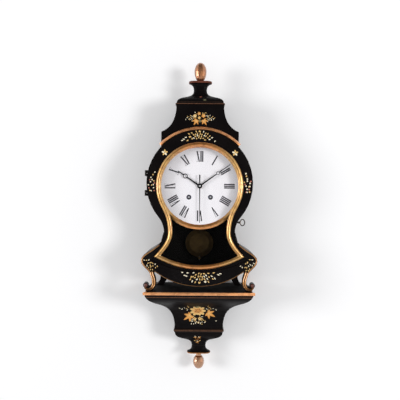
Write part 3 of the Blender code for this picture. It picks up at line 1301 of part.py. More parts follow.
def build_pendulum():
    axis = (0.0, PENDULUM_Z)
    rear = BACK_PLATE_Y + PLATE_THICKNESS
    half = ROD_EYE_HALF
    eye = ROD_EYE_RADIUS
    hole = STUD_RADIUS + 0.5 * PIVOT_CLEARANCE
    front = PENDULUM_Y - half
    back = PENDULUM_Y + half
    bob_z = PENDULUM_Z - PENDULUM_LENGTH
    loop = [(hole, front), (eye, front), (eye, back), (hole, back)]
    rod = lathe_y("pendulum_rod", axis, loop, 16, "steel", closed=True)
    end_z = bob_z - PENDULUM_TAIL
    stem_top = PENDULUM_Z - 0.5 * (eye + hole)
    join(rod, lathe_z("stem", (0.0, PENDULUM_Y), [(ROD_RADIUS, end_z), (ROD_RADIUS, stem_top)], 10, "steel"))
    set_origin(rod, (0.0, PENDULUM_Y, PENDULUM_Z))

    slim = 0.5 * BOB_THICKNESS
    lens = [(0.25 * BOB_RADIUS, -slim), (0.70 * BOB_RADIUS, -0.72 * slim), (BOB_RADIUS, -0.16 * slim),
            (BOB_RADIUS, 0.16 * slim), (0.70 * BOB_RADIUS, 0.72 * slim), (0.25 * BOB_RADIUS, slim)]
    bob = lathe_y("pendulum_bob", (0.0, bob_z), [(r, PENDULUM_Y + y) for r, y in lens], 24, "brass")
    radius = ROD_RADIUS + FIT
    bore_ends = [(radius, bob_z - 2 * BOB_RADIUS), (radius, bob_z + 2 * BOB_RADIUS)]
    cut(bob, lathe_z("bore", (0.0, PENDULUM_Y), bore_ends, 10, "brass"))
    set_origin(bob, (0.0, PENDULUM_Y, PENDULUM_Z))

    nut_top = bob_z - BOB_RADIUS - FIT
    nut_ends = [(NUT_RADIUS, nut_top - NUT_HEIGHT), (NUT_RADIUS, nut_top)]
    nut = lathe_z("rating_nut", (0.0, PENDULUM_Y), nut_ends, 12, "brass")
    bore_ends = [(radius, nut_top - 2 * NUT_HEIGHT), (radius, nut_top + NUT_HEIGHT)]
    cut(nut, lathe_z("bore", (0.0, PENDULUM_Y), bore_ends, 10, "brass"))
    set_origin(nut, (0.0, PENDULUM_Y, PENDULUM_Z))

    arm_low = PENDULUM_Z + eye + 2 * RUNNING_CLEARANCE
    post_front = back + RUNNING_CLEARANCE
    post_back = post_front + COCK_THICKNESS
    side = COCK_HALF
    foot_y = rear + FIT
    foot_back = foot_y + COCK_THICKNESS
    arm_top = arm_low + COCK_THICKNESS
    cock = box("suspension_cock", (-side, foot_y, arm_low), (side, post_back, arm_top), "brass")
    join(cock, box("foot", (-side, foot_y, arm_low), (side, foot_back, arm_low + COCK_FOOT_HEIGHT), "brass"))
    join(cock, box("post", (-side, post_front, PENDULUM_Z - eye), (side, post_back, arm_top - FIT), "brass"))
    stud = [(STUD_RADIUS, front - FIT), (STUD_RADIUS, post_back - FIT)]
    join(cock, lathe_y("stud", axis, stud, 12, "steel"))


def build_strike():
    rim_z = DIAL_Z + BELL_RISE - BELL_DEPTH
    y = PLATE_MIDDLE_Y
    centre = (BELL_X, y)
    outer = bezier((BELL_RADIUS, 0.0), (0.93 * BELL_RADIUS, 0.6 * BELL_DEPTH),
                   (0.75 * BELL_RADIUS, 0.95 * BELL_DEPTH), (0.30 * BELL_RADIUS, BELL_DEPTH), 5)
    inner = [(r - BELL_WALL, h - BELL_WALL) for r, h in reversed(outer[1:])]
    inner.append((BELL_RADIUS - BELL_WALL, 0.0))
    crown = [(BELL_HOLE_RADIUS, BELL_DEPTH), (BELL_HOLE_RADIUS, BELL_DEPTH - BELL_WALL)]
    profile = [(r, rim_z + h) for r, h in outer + crown + inner]
    lathe_z("bell", centre, profile, 16, "brass", closed=True)

    rear = BACK_PLATE_Y + PLATE_THICKNESS + FIT
    arm_top = rim_z - BELL_ARM_DROP
    arm_low = arm_top - BELL_ARM_THICKNESS
    side = BELL_ARM_HALF
    foot_low = DIAL_Z + PLATE_TOP - BELL_FOOT_HEIGHT
    foot_back = rear + BELL_ARM_THICKNESS
    stand = box("bell_stand", (BELL_X - side, rear, foot_low), (BELL_X + side, foot_back, arm_top), "steel")
    arm_back = foot_back - FIT
    join(stand, box("arm", (BELL_X - side, y - side, arm_low), (BELL_X + side, arm_back, arm_top), "steel"))
    shoulder = rim_z + BELL_DEPTH - BELL_WALL - FIT
    stud_top = rim_z + BELL_DEPTH + BELL_WALL
    post = [(BELL_POST_RADIUS, arm_low + FIT), (BELL_POST_RADIUS, shoulder), (BELL_STUD_RADIUS, shoulder),
            (BELL_STUD_RADIUS, stud_top)]
    join(stand, lathe_z("post", centre, post, 12, "steel"))

    pivot = (HAMMER_X, DIAL_Z + HAMMER_RISE)
    head_x = BELL_X - BELL_RADIUS - HAMMER_GAP - HAMMER_HEAD_RADIUS
    head_z = rim_z + HAMMER_HEAD_RISE
    arbor = [(PIVOT_RADIUS, FRONT_PLATE_Y), (PIVOT_RADIUS, BACK_PLATE_Y + PLATE_THICKNESS)]
    hammer = lathe_y("hammer", pivot, arbor, 12, "steel")
    half = HAMMER_ARM_HALF
    outline = [(pivot[0] - half, pivot[1]), (pivot[0] + half, pivot[1]), (head_x + half, head_z),
               (head_x - half, head_z)]
    join(hammer, plate("arm", outline, y - half, y + half, "steel"))
    head = [(HAMMER_HEAD_RADIUS, y - HAMMER_HEAD_HALF), (HAMMER_HEAD_RADIUS, y + HAMMER_HEAD_HALF)]
    join(hammer, lathe_y("head", (head_x, head_z), head, 14, "steel"))
    set_origin(hammer, (pivot[0], y, pivot[1]))


def main():
    clear_scene()
    build_bracket()
    build_case()
    build_crest()
    build_door()
    build_lock()
    build_plates()
    build_train()
    build_motion_work()
    build_dial()
    build_hands()
    build_pendulum()
    build_strike()


main()
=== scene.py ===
"""Looks of a black lacquered bracket clock: gilding, painted flowers, dial figures and studio.

Units are metres, +Z is up and the clock faces -Y. The wall behind it is the plane y = 0.
"""

import math
import random

import bmesh
import bpy
from bpy.props import FloatProperty, FloatVectorProperty, IntProperty, PointerProperty
from mathutils import Matrix, Vector


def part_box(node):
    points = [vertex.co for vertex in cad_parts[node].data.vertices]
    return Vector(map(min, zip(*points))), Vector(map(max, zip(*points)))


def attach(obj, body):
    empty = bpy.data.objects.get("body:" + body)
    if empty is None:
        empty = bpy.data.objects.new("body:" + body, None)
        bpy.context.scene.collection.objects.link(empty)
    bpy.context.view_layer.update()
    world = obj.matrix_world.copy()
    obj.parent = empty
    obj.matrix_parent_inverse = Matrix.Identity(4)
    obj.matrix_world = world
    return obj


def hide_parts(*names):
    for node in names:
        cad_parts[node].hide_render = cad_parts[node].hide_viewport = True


bl_info = {
    "name": "Lacquered bracket clock",
    "version": (1, 0, 0),
    "blender": (4, 5, 0),
    "location": "3D View > Sidebar > Clock",
    "description": "Gilding, painted flowers, dial figures and studio for a wall bracket clock",
    "category": "Object",
}

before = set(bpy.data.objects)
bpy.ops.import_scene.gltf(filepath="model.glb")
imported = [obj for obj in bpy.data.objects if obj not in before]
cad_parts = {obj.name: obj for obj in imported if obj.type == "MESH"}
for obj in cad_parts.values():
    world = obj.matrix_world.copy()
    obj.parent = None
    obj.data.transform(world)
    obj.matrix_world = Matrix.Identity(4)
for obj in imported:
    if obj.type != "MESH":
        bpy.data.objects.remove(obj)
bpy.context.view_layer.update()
CASE = "case_and_bracket"
DOOR = "door"


def linear(code):
    """Linear colour of an sRGB hex value."""
    parts = [int(code[i:i + 2], 16) / 255 for i in (1, 3, 5)]
    return tuple(v / 12.92 if v <= 0.04045 else ((v + 0.055) / 1.055) ** 2.4 for v in parts)


def colour(label, code, description):
    return FloatVectorProperty(name=label, description=description, default=linear(code), subtype="COLOR",
                               min=0.0, max=1.0)


def number(label, default, description, **kind):
    return FloatProperty(name=label, description=description, default=default, **kind)


def length(label, default, description):
    return number(label, default, description, subtype="DISTANCE", unit="LENGTH")


class LacquerSettings(bpy.types.PropertyGroup):
    black: colour("Lacquer", "#080607", "Black of the polished lacquer")
    worn: colour("Worn lacquer", "#2E211B", "Brown that shows where edges are rubbed")
    line: colour("Lining", "#6B4A38", "Dull brown gilding of the thin lines round the case")
    ripple: length("Ripple", 0.018, "Width of the slow waves in the hand-polished surface")


class GildingSettings(bpy.types.PropertyGroup):
    # The gold leaf and the red leaf are one leaf: the brighter, redder leaf on the top and bottom stretches
    # is painted light, and the darker leaf on the uprights is painted shade, evening out how the lamps
    # light them
    leaf: colour("Gold leaf", "#CFA056", "Colour of the burnished leaf")
    middle: colour("Red leaf", "#E3964A", "Redder leaf in the middle of the top and bottom stretches")
    worn: colour("Worn leaf", "#A67434", "Colour of the rubbed leaf on the legs and hips")
    bole: colour("Bole", "#8A4A22", "Red clay that shows through thin leaf")
    leg_width: length("Leg width", 0.0105, "Width of the gilt moulding down a front leg")
    hip_width: length("Hip width", 0.0040, "Width of the gilt line over the hip")
    rise: length("Rise", 0.0024, "How far the gilt line stands off the board")


class FlowerSettings(bpy.types.PropertyGroup):
    gold: colour("Shell gold", "#E8C078", "Powdered gold of the small leaves")
    cream: colour("Cream", "#F8EDCE", "Pale touches on the leaves")
    amber: colour("Amber", "#DE9947", "Autumn leaves and large petals")
    rose: colour("Rose", "#B9705E", "Small red blossoms")
    green: colour("Green", "#6F6A48", "Grey-green foliage")
    umber: colour("Umber", "#8C5A2C", "Dark hearts and shaded petals")
    rise: length("Rise", 0.0004, "Thickness of the raised paint")
    seed: IntProperty(name="Seed", description="Which arrangement of leaves is drawn", default=7, min=0)


class DialSettings(bpy.types.PropertyGroup):
    white: colour("Enamel", "#FCFAFE", "White of the fired dial")
    ink: colour("Figures", "#221F29", "Black of the painted hour figures")
    figure_outer: length("Outer radius", 0.1005, "Radius at the outer ends of the hour figures")
    figure_inner: length("Inner radius", 0.0700, "Radius at the inner ends of the hour figures")
    stroke: length("Stroke", 0.0036, "Width of a figure's thick stroke")


class StudioSettings(bpy.types.PropertyGroup):
    distance: length("Camera distance", 1.505, "From the wall to the camera")
    height: length("Camera height", 0.312, "Height of the camera on the shared frame")
    field: number("Field", math.radians(45.1), "Width of the camera's view", subtype="ANGLE")
    roll: number("Roll", math.radians(0.40), "Slight tilt of the camera", subtype="ANGLE")
    wall: colour("Wall", "#FCFCFD", "White of the wall and floor")
    key_power: number("Right lamp", 42.0, "Power of the right lamp", unit="POWER")
    fill_power: number("Left lamp", 67.0, "Power of the left lamp", unit="POWER")
    back_power: number("Back lamp", 8.0, "Power of the lamp behind", unit="POWER")
    sky: number("Room light", 0.57, "Even light from the whole room")
    side: number("Bright sides", 1.0, "What polished faces mirror at the room's two sides")
    dim: number("Dim middle", 0.12, "What polished faces mirror ahead, above and below")


SETTINGS = {
    "clock_lacquer": LacquerSettings,
    "clock_gilding": GildingSettings,
    "clock_flowers": FlowerSettings,
    "clock_dial": DialSettings,
    "clock_studio": StudioSettings,
}


# Node helpers: each adds a node to a tree and gives its output


def rgba(value):
    return (*value[:3], 1.0)


def per_metre(millimetres):
    """Texture scale whose cells have the given real size."""
    return 1000.0 / millimetres


def add(tree, kind, inputs=None, **settings):
    """Add a node, apply its settings, and set or link its inputs."""
    made = tree.nodes.new(kind)
    for key, value in settings.items():
        setattr(made, key, value)
    for key, value in (inputs or {}).items():
        if isinstance(value, bpy.types.NodeSocket):
            tree.links.new(value, made.inputs[key])
        else:
            made.inputs[key].default_value = value
    return made


def maths(tree, operation, *values):
    return add(tree, "ShaderNodeMath", dict(enumerate(values)), operation=operation).outputs[0]


def split(tree, place, axis):
    """One of the three coordinates of a place."""
    return add(tree, "ShaderNodeSeparateXYZ", {0: place}).outputs[axis]


def spread(tree, value, low, high, first=0.0, last=1.0):
    """A value between low and high, stretched to lie between first and last."""
    return add(tree, "ShaderNodeMapRange", {"Value": value, "From Min": low, "From Max": high,
                                            "To Min": first, "To Max": last}).outputs[0]


def noise(tree, place, cell, detail, **more):
    """Cloudy pattern, from 0 to 1, whose cells have the given size in millimetres."""
    inputs = {"Vector": place, "Scale": per_metre(cell), "Detail": detail, **more}
    return add(tree, "ShaderNodeTexNoise", inputs).outputs["Fac"]


def blend(tree, share, first, second):
    """Colour between two others, each a socket, a colour or a hex value."""
    inputs = {0: share}
    for index, tint in ((6, first), (7, second)):
        if isinstance(tint, str):
            tint = linear(tint)
        inputs[index] = tint if isinstance(tint, bpy.types.NodeSocket) else rgba(tint)
    return add(tree, "ShaderNodeMix", inputs, data_type="RGBA").outputs[2]


def relief(tree, height, strength, depth):
    """Direction of an uneven surface."""
    inputs = {"Height": height, "Strength": strength, "Distance": depth}
    return add(tree, "ShaderNodeBump", inputs).outputs[0]


def stretched(tree, place, **inputs):
    """Coordinates turned or scaled before a pattern uses them."""
    return add(tree, "ShaderNodeMapping", {"Vector": place, **inputs}).outputs[0]


def worn_edge(tree, radius):
    """1 on sharp edges and 0 on flat faces."""
    rounded = add(tree, "ShaderNodeBevel", {"Radius": radius}, samples=4).outputs[0]
    flat = add(tree, "ShaderNodeNewGeometry").outputs["Normal"]
    match = add(tree, "ShaderNodeVectorMath", {0: rounded, 1: flat}, operation="DOT_PRODUCT")
    return spread(tree, match.outputs["Value"], 0.99, 0.80)


def start(name, roughness, **values):
    """A named material, its tree and the object's own coordinates.

    The values go to the shader's inputs, whose names have underscores for spaces here and in dress.
    """
    made = bpy.data.materials.new(name)
    made.use_nodes = True
    tree = made.node_tree
    shader = tree.nodes["Principled BSDF"]
    for key, value in {"Roughness": roughness, "IOR": 1.5, **values}.items():
        shader.inputs[key.replace("_", " ")].default_value = value
    return made, tree, add(tree, "ShaderNodeTexCoord").outputs["Object"]


def dress(made, **sockets):
    """Link sockets to the shader's inputs and give the material back."""
    tree = made.node_tree
    for key, socket in sockets.items():
        tree.links.new(socket, tree.nodes["Principled BSDF"].inputs[key.replace("_", " ")])
    return made


def dress_mixed(made, share, first, second):
    """Give the material a mix of two shaders in place of its own."""
    tree = made.node_tree
    tree.nodes.remove(tree.nodes["Principled BSDF"])
    mix = add(tree, "ShaderNodeMixShader", {0: share, 1: first.outputs[0], 2: second.outputs[0]})
    tree.links.new(mix.outputs[0], tree.nodes["Material Output"].inputs["Surface"])
    return made


# Materials


def black_lacquer(name, bands=(), gloss=(0.20, 0.32), shine=0.14):
    """Resin lacquer over wood, rubbed to a gloss: near-black, faint slow waves, brown on worn edges.

    Each band is a painted line: its middle height, half height and colour. Gloss is the range of roughness,
    and shine, the specular level, is low where dust and old wax dull the surface.
    """
    look = bpy.context.scene.clock_lacquer
    made, tree, place = start(name, 0.16, Specular_IOR_Level=shine)
    cloud = noise(tree, place, 55, 3.0)
    speck = noise(tree, place, 4, 4.0)
    tone = blend(tree, cloud, look.black, "#100C0C")
    tone = blend(tree, maths(tree, "MULTIPLY", worn_edge(tree, 0.0012), speck), tone, look.worn)
    for middle, half, paint in bands:
        inside = maths(tree, "COMPARE", split(tree, place, "Z"), middle, half)
        patchy = spread(tree, speck, 0.25, 0.55, 0.35, 1.0)
        tone = blend(tree, maths(tree, "MULTIPLY", inside, patchy), tone, paint)
    haze = spread(tree, cloud, 0.3, 0.7, *gloss)
    wave = noise(tree, place, 1000 * look.ripple, 2.0)
    return dress(made, Base_Color=tone, Roughness=haze, Normal=relief(tree, wave, 0.12, 0.0008))


def plum_lacquer(name):
    """Red-brown lacquer over wood on the small turned knobs: dark plum, glossy, streaked."""
    made, tree, place = start(name, 0.20)
    streak = noise(tree, place, 2.5, 3.0)
    tone = blend(tree, streak, "#4A2B27", "#7A4A3E")
    return dress(made, Base_Color=tone, Normal=relief(tree, streak, 0.10, 0.0003))


def burnished_gilding(name, leaf, roughness=0.38, middle=None):
    """Gold leaf on red clay over wood: warm metal, thin red places, rubbed edges, and a coat of shellac.

    Where a second colour is given, the leaf turns to it towards the middle of the clock: painted light on
    the top and bottom stretches and painted shade on the uprights, not a change in the leaf itself.
    """
    look = bpy.context.scene.clock_gilding
    made, tree, place = start(name, roughness, Metallic=1.0, Coat_Weight=1.0, Coat_Roughness=0.22,
                              Coat_IOR=1.7)
    patch = noise(tree, place, 14, 5.0, Roughness=0.65)
    thin = spread(tree, patch, 0.46, 0.74, 0.0, 0.75)
    edge = maths(tree, "MULTIPLY", worn_edge(tree, 0.0010), patch)
    # Painted light and shade: brighter, redder leaf near the middle, darker leaf towards the sides
    if middle is not None:
        aside = maths(tree, "ABSOLUTE", split(tree, place, "X"))
        leaf = blend(tree, spread(tree, aside, 0.035, 0.085), middle, leaf)
    tone = blend(tree, maths(tree, "MAXIMUM", thin, edge), leaf, look.bole)
    grain = noise(tree, place, 2.5, 3.0)
    dull = spread(tree, grain, 0.3, 0.7, roughness - 0.08, roughness + 0.10)
    bump = relief(tree, grain, 0.18, 0.0004)
    return dress(made, Base_Color=tone, Roughness=dull, Normal=bump, Coat_Normal=bump)


def flower_paint(name, paint, metallic=0.0):
    """Oil colour or shell gold laid thick with a brush: short strokes and thin places over black."""
    made, tree, place = start(name, 0.42, Metallic=metallic)
    turned = stretched(tree, place, Rotation=(0.0, 0.6, 0.0), Scale=(1.0, 1.0, 3.0))
    stroke = noise(tree, turned, 3.0, 3.0)
    over_black = tuple(0.28 * v for v in paint)
    tone = blend(tree, spread(tree, stroke, 0.52, 0.80, 0.0, 0.8), paint, over_black)
    return dress(made, Base_Color=tone, Normal=relief(tree, stroke, 0.35, 0.0003))


def fired_enamel(name):
    """Glass enamel fired on copper: bluish white, glossy, a few grey pits."""
    made, tree, place = start(name, 0.14, IOR=1.52)
    cloud = noise(tree, place, 60, 2.0)
    tone = blend(tree, cloud, bpy.context.scene.clock_dial.white, "#F5F3F8")
    cells = add(tree, "ShaderNodeTexVoronoi", {"Vector": place, "Scale": per_metre(9)})
    pits = spread(tree, cells.outputs["Distance"], 0.02, 0.05, 0.35, 0.0)
    tone = blend(tree, pits, tone, "#B9B6B4")
    return dress(made, Base_Color=tone, Normal=relief(tree, cloud, 0.05, 0.0008))


def dial_ink(name):
    """Black enamel colour painted on the fired dial: matt, slightly broken at the edges."""
    made, tree, place = start(name, 0.40)
    tone = blend(tree, noise(tree, place, 1.6, 3.0), bpy.context.scene.clock_dial.ink, "#3A3640")
    return dress(made, Base_Color=tone)


def worked_metal(name, code, dark, roughness, along, streak=0.8):
    """Filed and polished metal: fine parallel lines and a little tarnish.

    The lines, about 0.1 mm apart on the real one, are drawn coarser so that they show.
    """
    made, tree, place = start(name, roughness, Metallic=1.0)
    squash = [per_metre(streak)] * 3
    squash[along] = per_metre(40)
    marks = noise(tree, stretched(tree, place, Scale=squash), 1000, 2.0)
    tone = blend(tree, noise(tree, place, 12, 4.0), code, dark)
    dull = spread(tree, marks, 0.3, 0.7, roughness - 0.06, roughness + 0.12)
    return dress(made, Base_Color=tone, Roughness=dull, Normal=relief(tree, marks, 0.12, 0.0002))


def old_pine(name, pale, dark, along, shine=0.5):
    """Sawn softwood darkened by age: long growth lines 3 to 4 mm apart and small pores."""
    made, tree, place = start(name, 0.66, Specular_IOR_Level=shine)
    squash = [1.0, 1.0, 1.0]
    squash[along] = 0.07
    grain = noise(tree, stretched(tree, place, Scale=squash), 7, 6.0, Distortion=0.6)
    tone = blend(tree, spread(tree, grain, 0.36, 0.64), pale, dark)
    return dress(made, Base_Color=tone, Normal=relief(tree, grain, 0.35, 0.0006))


def window_glass(name):
    """Old drawn glass: clear, with faint reflections that waver."""
    gloss = 0.03
    made, tree, place = start(name, gloss)
    wave = relief(tree, noise(tree, place, 45, 1.0), 0.06, 0.001)
    mirror = add(tree, "ShaderNodeBsdfGlossy", {"Roughness": gloss, "Normal": wave})
    clear = add(tree, "ShaderNodeBsdfTransparent")
    slant = add(tree, "ShaderNodeLayerWeight", {"Blend": 0.5, "Normal": wave}).outputs["Facing"]
    share = maths(tree, "MULTIPLY_ADD", maths(tree, "POWER", slant, 5.0), 0.60, 0.008)
    return dress_mixed(made, share, clear, mirror)


def wall_paint(name, paint):
    """Matt white wall paint, seen from its front only, so that the clock's back stays lit and in view."""
    made, tree = start(name, 0.9)[:2]
    matt = add(tree, "ShaderNodeBsdfDiffuse", {"Color": rgba(paint), "Roughness": 0.4})
    clear = add(tree, "ShaderNodeBsdfTransparent")
    ray = add(tree, "ShaderNodeLightPath").outputs
    shown = maths(tree, "MAXIMUM", ray["Is Camera Ray"], ray["Is Glossy Ray"])
    shown = maths(tree, "MAXIMUM", shown, ray["Is Transmission Ray"])
    front = maths(tree, "SUBTRACT", 1.0, add(tree, "ShaderNodeNewGeometry").outputs["Backfacing"])
    return dress_mixed(made, maths(tree, "MULTIPLY", shown, front), clear, matt)


def finish(made, *names):
    """Give CAD nodes a material."""
    for name in names:
        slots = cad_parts[name].data.materials
        slots.clear()
        slots.append(made)


# Shapes

SMOOTH_ANGLE = math.radians(40)
# Triangles that meet at less than the first are one face of a moulding, and faces at more than the second
# have an arris between them
FLAT_ANGLE = math.radians(12)
ARRIS_ANGLE = math.radians(22)
# Room between paint and the face that it lies on, and room between trim and what it stands on
PAINT_GAP = 0.00005
TRIM_GAP = 0.00002


def put(name, data):
    """A new object in the scene."""
    made = bpy.data.objects.new(name, data)
    bpy.context.scene.collection.objects.link(made)
    return made


def new_piece(name, bm, body, slot, *materials):
    """Turn a bmesh into a piece at the origin that rides on a body."""
    bmesh.ops.remove_doubles(bm, verts=bm.verts, dist=1e-7)
    mesh = bpy.data.meshes.new(name)
    bm.to_mesh(mesh)
    bm.free()
    for made in materials:
        mesh.materials.append(made)
    mesh.shade_smooth()
    mesh.set_sharp_from_angle(angle=SMOOTH_ANGLE)
    piece = put(name, mesh)
    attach(piece, body)
    return piece


def eased_copy(node, width, body, made):
    """The CAD moulding with its long arrises rounded, in its place. Its back edges stay sharp."""
    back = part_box(node)[1].y - 0.0004
    bm = bmesh.new()
    bm.from_mesh(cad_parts[node].data)
    bmesh.ops.remove_doubles(bm, verts=bm.verts, dist=1e-6)
    bmesh.ops.join_triangles(bm, faces=bm.faces, angle_face_threshold=FLAT_ANGLE,
                             angle_shape_threshold=math.radians(120))
    arrises = [edge for edge in bm.edges if len(edge.link_faces) == 2
               and edge.calc_face_angle() > ARRIS_ANGLE
               and max(vert.co.y for vert in edge.verts) < back]
    bmesh.ops.bevel(bm, geom=arrises, offset=width, offset_type="OFFSET", affect="EDGES", segments=3,
                    profile=0.5, clamp_overlap=True, material=-1)
    piece = new_piece("eased_" + node, bm, body, "gilt", made)
    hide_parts(node)


def raise_faces(bm, lift):
    """Give flat faces a thickness towards the viewer."""
    raised = bmesh.ops.extrude_face_region(bm, geom=list(bm.faces), use_keep_orig=True)
    tops = [item for item in raised["geom"] if isinstance(item, bmesh.types.BMVert)]
    bmesh.ops.translate(bm, verts=tops, vec=(0.0, -lift, 0.0))
    bmesh.ops.recalc_face_normals(bm, faces=bm.faces)


def spin_section(bm, middle, front, section, steps, first):
    """Turn a row of (radius, depth) points about a line through the middle, towards the viewer.

    The row is closed when its first edge is 0, and open when it is 1.
    """
    row = [bm.verts.new(middle + Vector((radius, front + depth, 0.0))) for radius, depth in section]
    edges = [bm.edges.new((row[k - 1], row[k])) for k in range(first, len(row))]
    bmesh.ops.spin(bm, geom=row + edges, cent=middle, axis=(0.0, 1.0, 0.0), angle=math.tau, steps=steps,
                   use_merge=True)


def smooth_path(points, steps):
    """Even curve through a row of points."""
    fine = []
    last = len(points) - 1
    for i in range(last):
        p0, p1, p2, p3 = (Vector(points[min(max(i + k, 0), last)]) for k in (-1, 0, 1, 2))
        for j in range(steps):
            t = j / steps
            a = 2 * p1 + (p2 - p0) * t + (2 * p0 - 5 * p1 + 4 * p2 - p3) * t * t
            fine.append(0.5 * (a + (3 * p1 - p0 - 3 * p2 + p3) * t ** 3))
    fine.append(Vector(points[-1]))
    return fine


def sweep(path, widths, rise, ridges, base):
    """Moulding along a path of (x, z) points: ridges side by side that stand off a board at depth base."""
    bm = bmesh.new()
    across = 4 * ridges
    last = len(path) - 1
    row = [bm.verts.new() for k in range(across + 1)]
    ring = [bm.edges.new((row[k], row[(k + 1) % len(row)])) for k in range(len(row))]
    ends = [ring]
    for i, (x, z) in enumerate(path):
        if i:
            made = bmesh.ops.extrude_edge_only(bm, edges=ring)["geom"]
            fresh = {item for item in made if isinstance(item, bmesh.types.BMVert)}
            row = [next(e.other_vert(v) for e in v.link_edges if e.other_vert(v) in fresh) for v in row]
            ring = [item for item in made if isinstance(item, bmesh.types.BMEdge)
                    and all(v in fresh for v in item.verts)]
        run = (Vector(path[min(i + 1, last)]) - Vector(path[max(i - 1, 0)])).normalized()
        side = Vector((-run.y, run.x))
        for k, vert in enumerate(row):
            share = k / across
            height = abs(math.sin(math.pi * ridges * share)) ** 0.6 if 0 < k < across else 0.0
            spot = (share - 0.5) * widths[i]
            vert.co = Vector((x + side.x * spot, base - rise * height, z + side.y * spot))
    ends.append(ring)
    for loop in ends:
        bmesh.ops.holes_fill(bm, edges=loop, sides=0)
    bmesh.ops.recalc_face_normals(bm, faces=bm.faces)
    return bm


# Brush strokes: drawn flat, then laid on the CAD faces

GOLD, CREAM, AMBER, ROSE, GREEN, UMBER = range(6)
PAINT_NAMES = ("gold", "cream", "amber", "rose", "green", "umber")


def petal(bm, centre, angle, long, wide, paint, swell=1.0, point=0.35):
    """One brush stroke of raised paint: a pointed oval that swells in the middle.

    It lies in the plane of the board, with its root at the centre and its tip along the angle. The swell is
    counted in thicknesses of the paint.
    """
    made = bmesh.ops.create_circle(bm, cap_ends=True, cap_tris=True, segments=10, radius=0.5)
    middle = max(made["verts"], key=lambda vert: len(vert.link_edges))
    turn = Matrix.Rotation(-angle, 4, "Y")
    for vert in made["verts"]:
        out = vert.co.x + 0.5
        pinch = 1.0 - point * out
        flat = Vector((out * long, 0.0, vert.co.y * wide * pinch))
        if vert is middle:
            flat.y = -swell * bpy.context.scene.clock_flowers.rise
        vert.co = turn @ flat + Vector((centre[0], 0.0, centre[1]))
    for face in {face for vert in made["verts"] for face in vert.link_faces}:
        face.material_index = paint


def blossom(bm, centre, radius, paint, eye, turn, full):
    """Round flower: five petals about a dot, wide ones when it is full."""
    for i in range(5):
        angle = turn + 2 * math.pi * i / 5
        petal(bm, centre, angle, radius, full * radius, paint, point=-0.3)
    dot = 0.56 * radius
    petal(bm, (centre[0] - 0.5 * dot, centre[1]), 0.0, dot, dot, eye, 2.2, 0.0)


def vine_leaf(bm, centre, angle, size, paint):
    """Five pointed lobes that spread from one stalk, each with a paler stroke down its middle."""
    for turn, share in ((-105, 0.55), (-52, 0.80), (0, 1.0), (52, 0.80), (105, 0.55)):
        lobe = angle + math.radians(turn)
        petal(bm, centre, lobe, share * size, 0.52 * size, paint, point=0.75)
        petal(bm, centre, lobe, 0.66 * share * size, 0.15 * size, GOLD, 2.4, 0.60)


def along(path, share):
    """Point and direction at a share of a path's length in steps."""
    place = share * (len(path) - 1)
    index = min(int(place), len(path) - 2)
    a = Vector(path[index])
    run = Vector(path[index + 1]) - a
    return a + run * (place - index), math.atan2(run.y, run.x)


def spray(bm, path, rows, pitch, chance, pale=0.25):
    """Small separate leaves on both sides of a stem, in rows that thin out from its full end to its tip."""
    steps = round(sum((Vector(b) - Vector(a)).length for a, b in zip(path, path[1:])) / pitch)
    for i in range(steps):
        share = (i + 0.5) / steps
        point, heading = along(path, share)
        ahead = Vector((math.cos(heading), math.sin(heading)))
        across = Vector((-ahead.y, ahead.x))
        width = rows * (1.0 - share) ** 0.7 + 0.2
        for k in range(-rows, rows + 1):
            if abs(k) > width:
                continue
            side = 1 if k > 0 or (k == 0 and i % 2) else -1
            slip = 0.5 * (k % 2) + 0.4 * (chance.random() - 0.5)
            off = 0.9 * (k + 0.35 * (chance.random() - 0.5))
            root = point + ahead * (pitch * slip) + across * (pitch * off)
            angle = heading + side * math.radians(20 + 50 * chance.random())
            size = pitch * (0.75 + 0.35 * chance.random())
            broad = pitch * (0.36 + 0.12 * chance.random())
            petal(bm, root, angle, size, broad, CREAM if chance.random() < pale else GOLD)


def mound(bm, base, half, high, bend, rows, leaf, chance):
    """Mound of small leaves that spread from a base: gold in the middle, pale at its two ends.

    Each row has its share of the full size and a count of leaves. A negative height hangs the mound under
    its base, and the bend curves the base.
    """
    for share, count in rows:
        for i in range(count):
            across = 1.0 - (2 * i + 1) / count + 0.10 * (chance.random() - 0.5)
            x = half * share * across
            z = high * (share * (1.0 - across * across) + 0.12 * (chance.random() - 0.5))
            angle = math.atan2(1.5 * z, x) + 1.3 * (chance.random() - 0.5)
            paint = CREAM if abs(x) > 0.6 * half or chance.random() < 0.2 else GOLD
            long = leaf * (0.84 + 0.34 * chance.random())
            petal(bm, (base[0] + x, base[1] + z + bend * x * x), angle, long, 0.6 * leaf, paint)


def front_of(nodes, x, z):
    """Depth of the first CAD face that a level line from the viewer meets at x and z, or None."""
    depths = []
    for name in nodes:
        hit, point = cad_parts[name].ray_cast((x, -1.0, z), (0.0, 1.0, 0.0))[:2]
        if hit:
            depths.append(point.y)
    return min(depths, default=None)


def lay_on(bm, nodes, lift):
    """Bend flat paint on to the CAD faces behind it and give it its thickness.

    Brush strokes that would hang over the edge of the board are left out.
    """
    over = set()
    for vert in bm.verts:
        depth = front_of(nodes, vert.co.x, vert.co.z)
        if depth is None:
            over.add(vert)
        else:
            vert.co.y += depth - PAINT_GAP
    edge = list(over)
    while edge:
        vert = edge.pop()
        joined = {link.other_vert(vert) for link in vert.link_edges} - over
        over |= joined
        edge += joined
    bmesh.ops.delete(bm, geom=list(over), context="VERTS")
    if not bm.faces:
        raise RuntimeError("no board behind the paint on " + ", ".join(nodes))
    raise_faces(bm, lift)


def paint_piece(name, bm, nodes, body):
    """Lay drawn strokes on CAD nodes as one piece in the six brushed paints."""
    look = bpy.context.scene.clock_flowers
    lay_on(bm, nodes, look.rise)
    paints = []
    for label in PAINT_NAMES:
        kind = "brushed_" + label + "_paint"
        metallic = 0.15 if label == "gold" else 0.0
        paints.append(bpy.data.materials.get(kind) or flower_paint(kind, getattr(look, label), metallic))
    new_piece(name, bm, body, "gilt", *paints)


# Places on the clock, from the CAD nodes

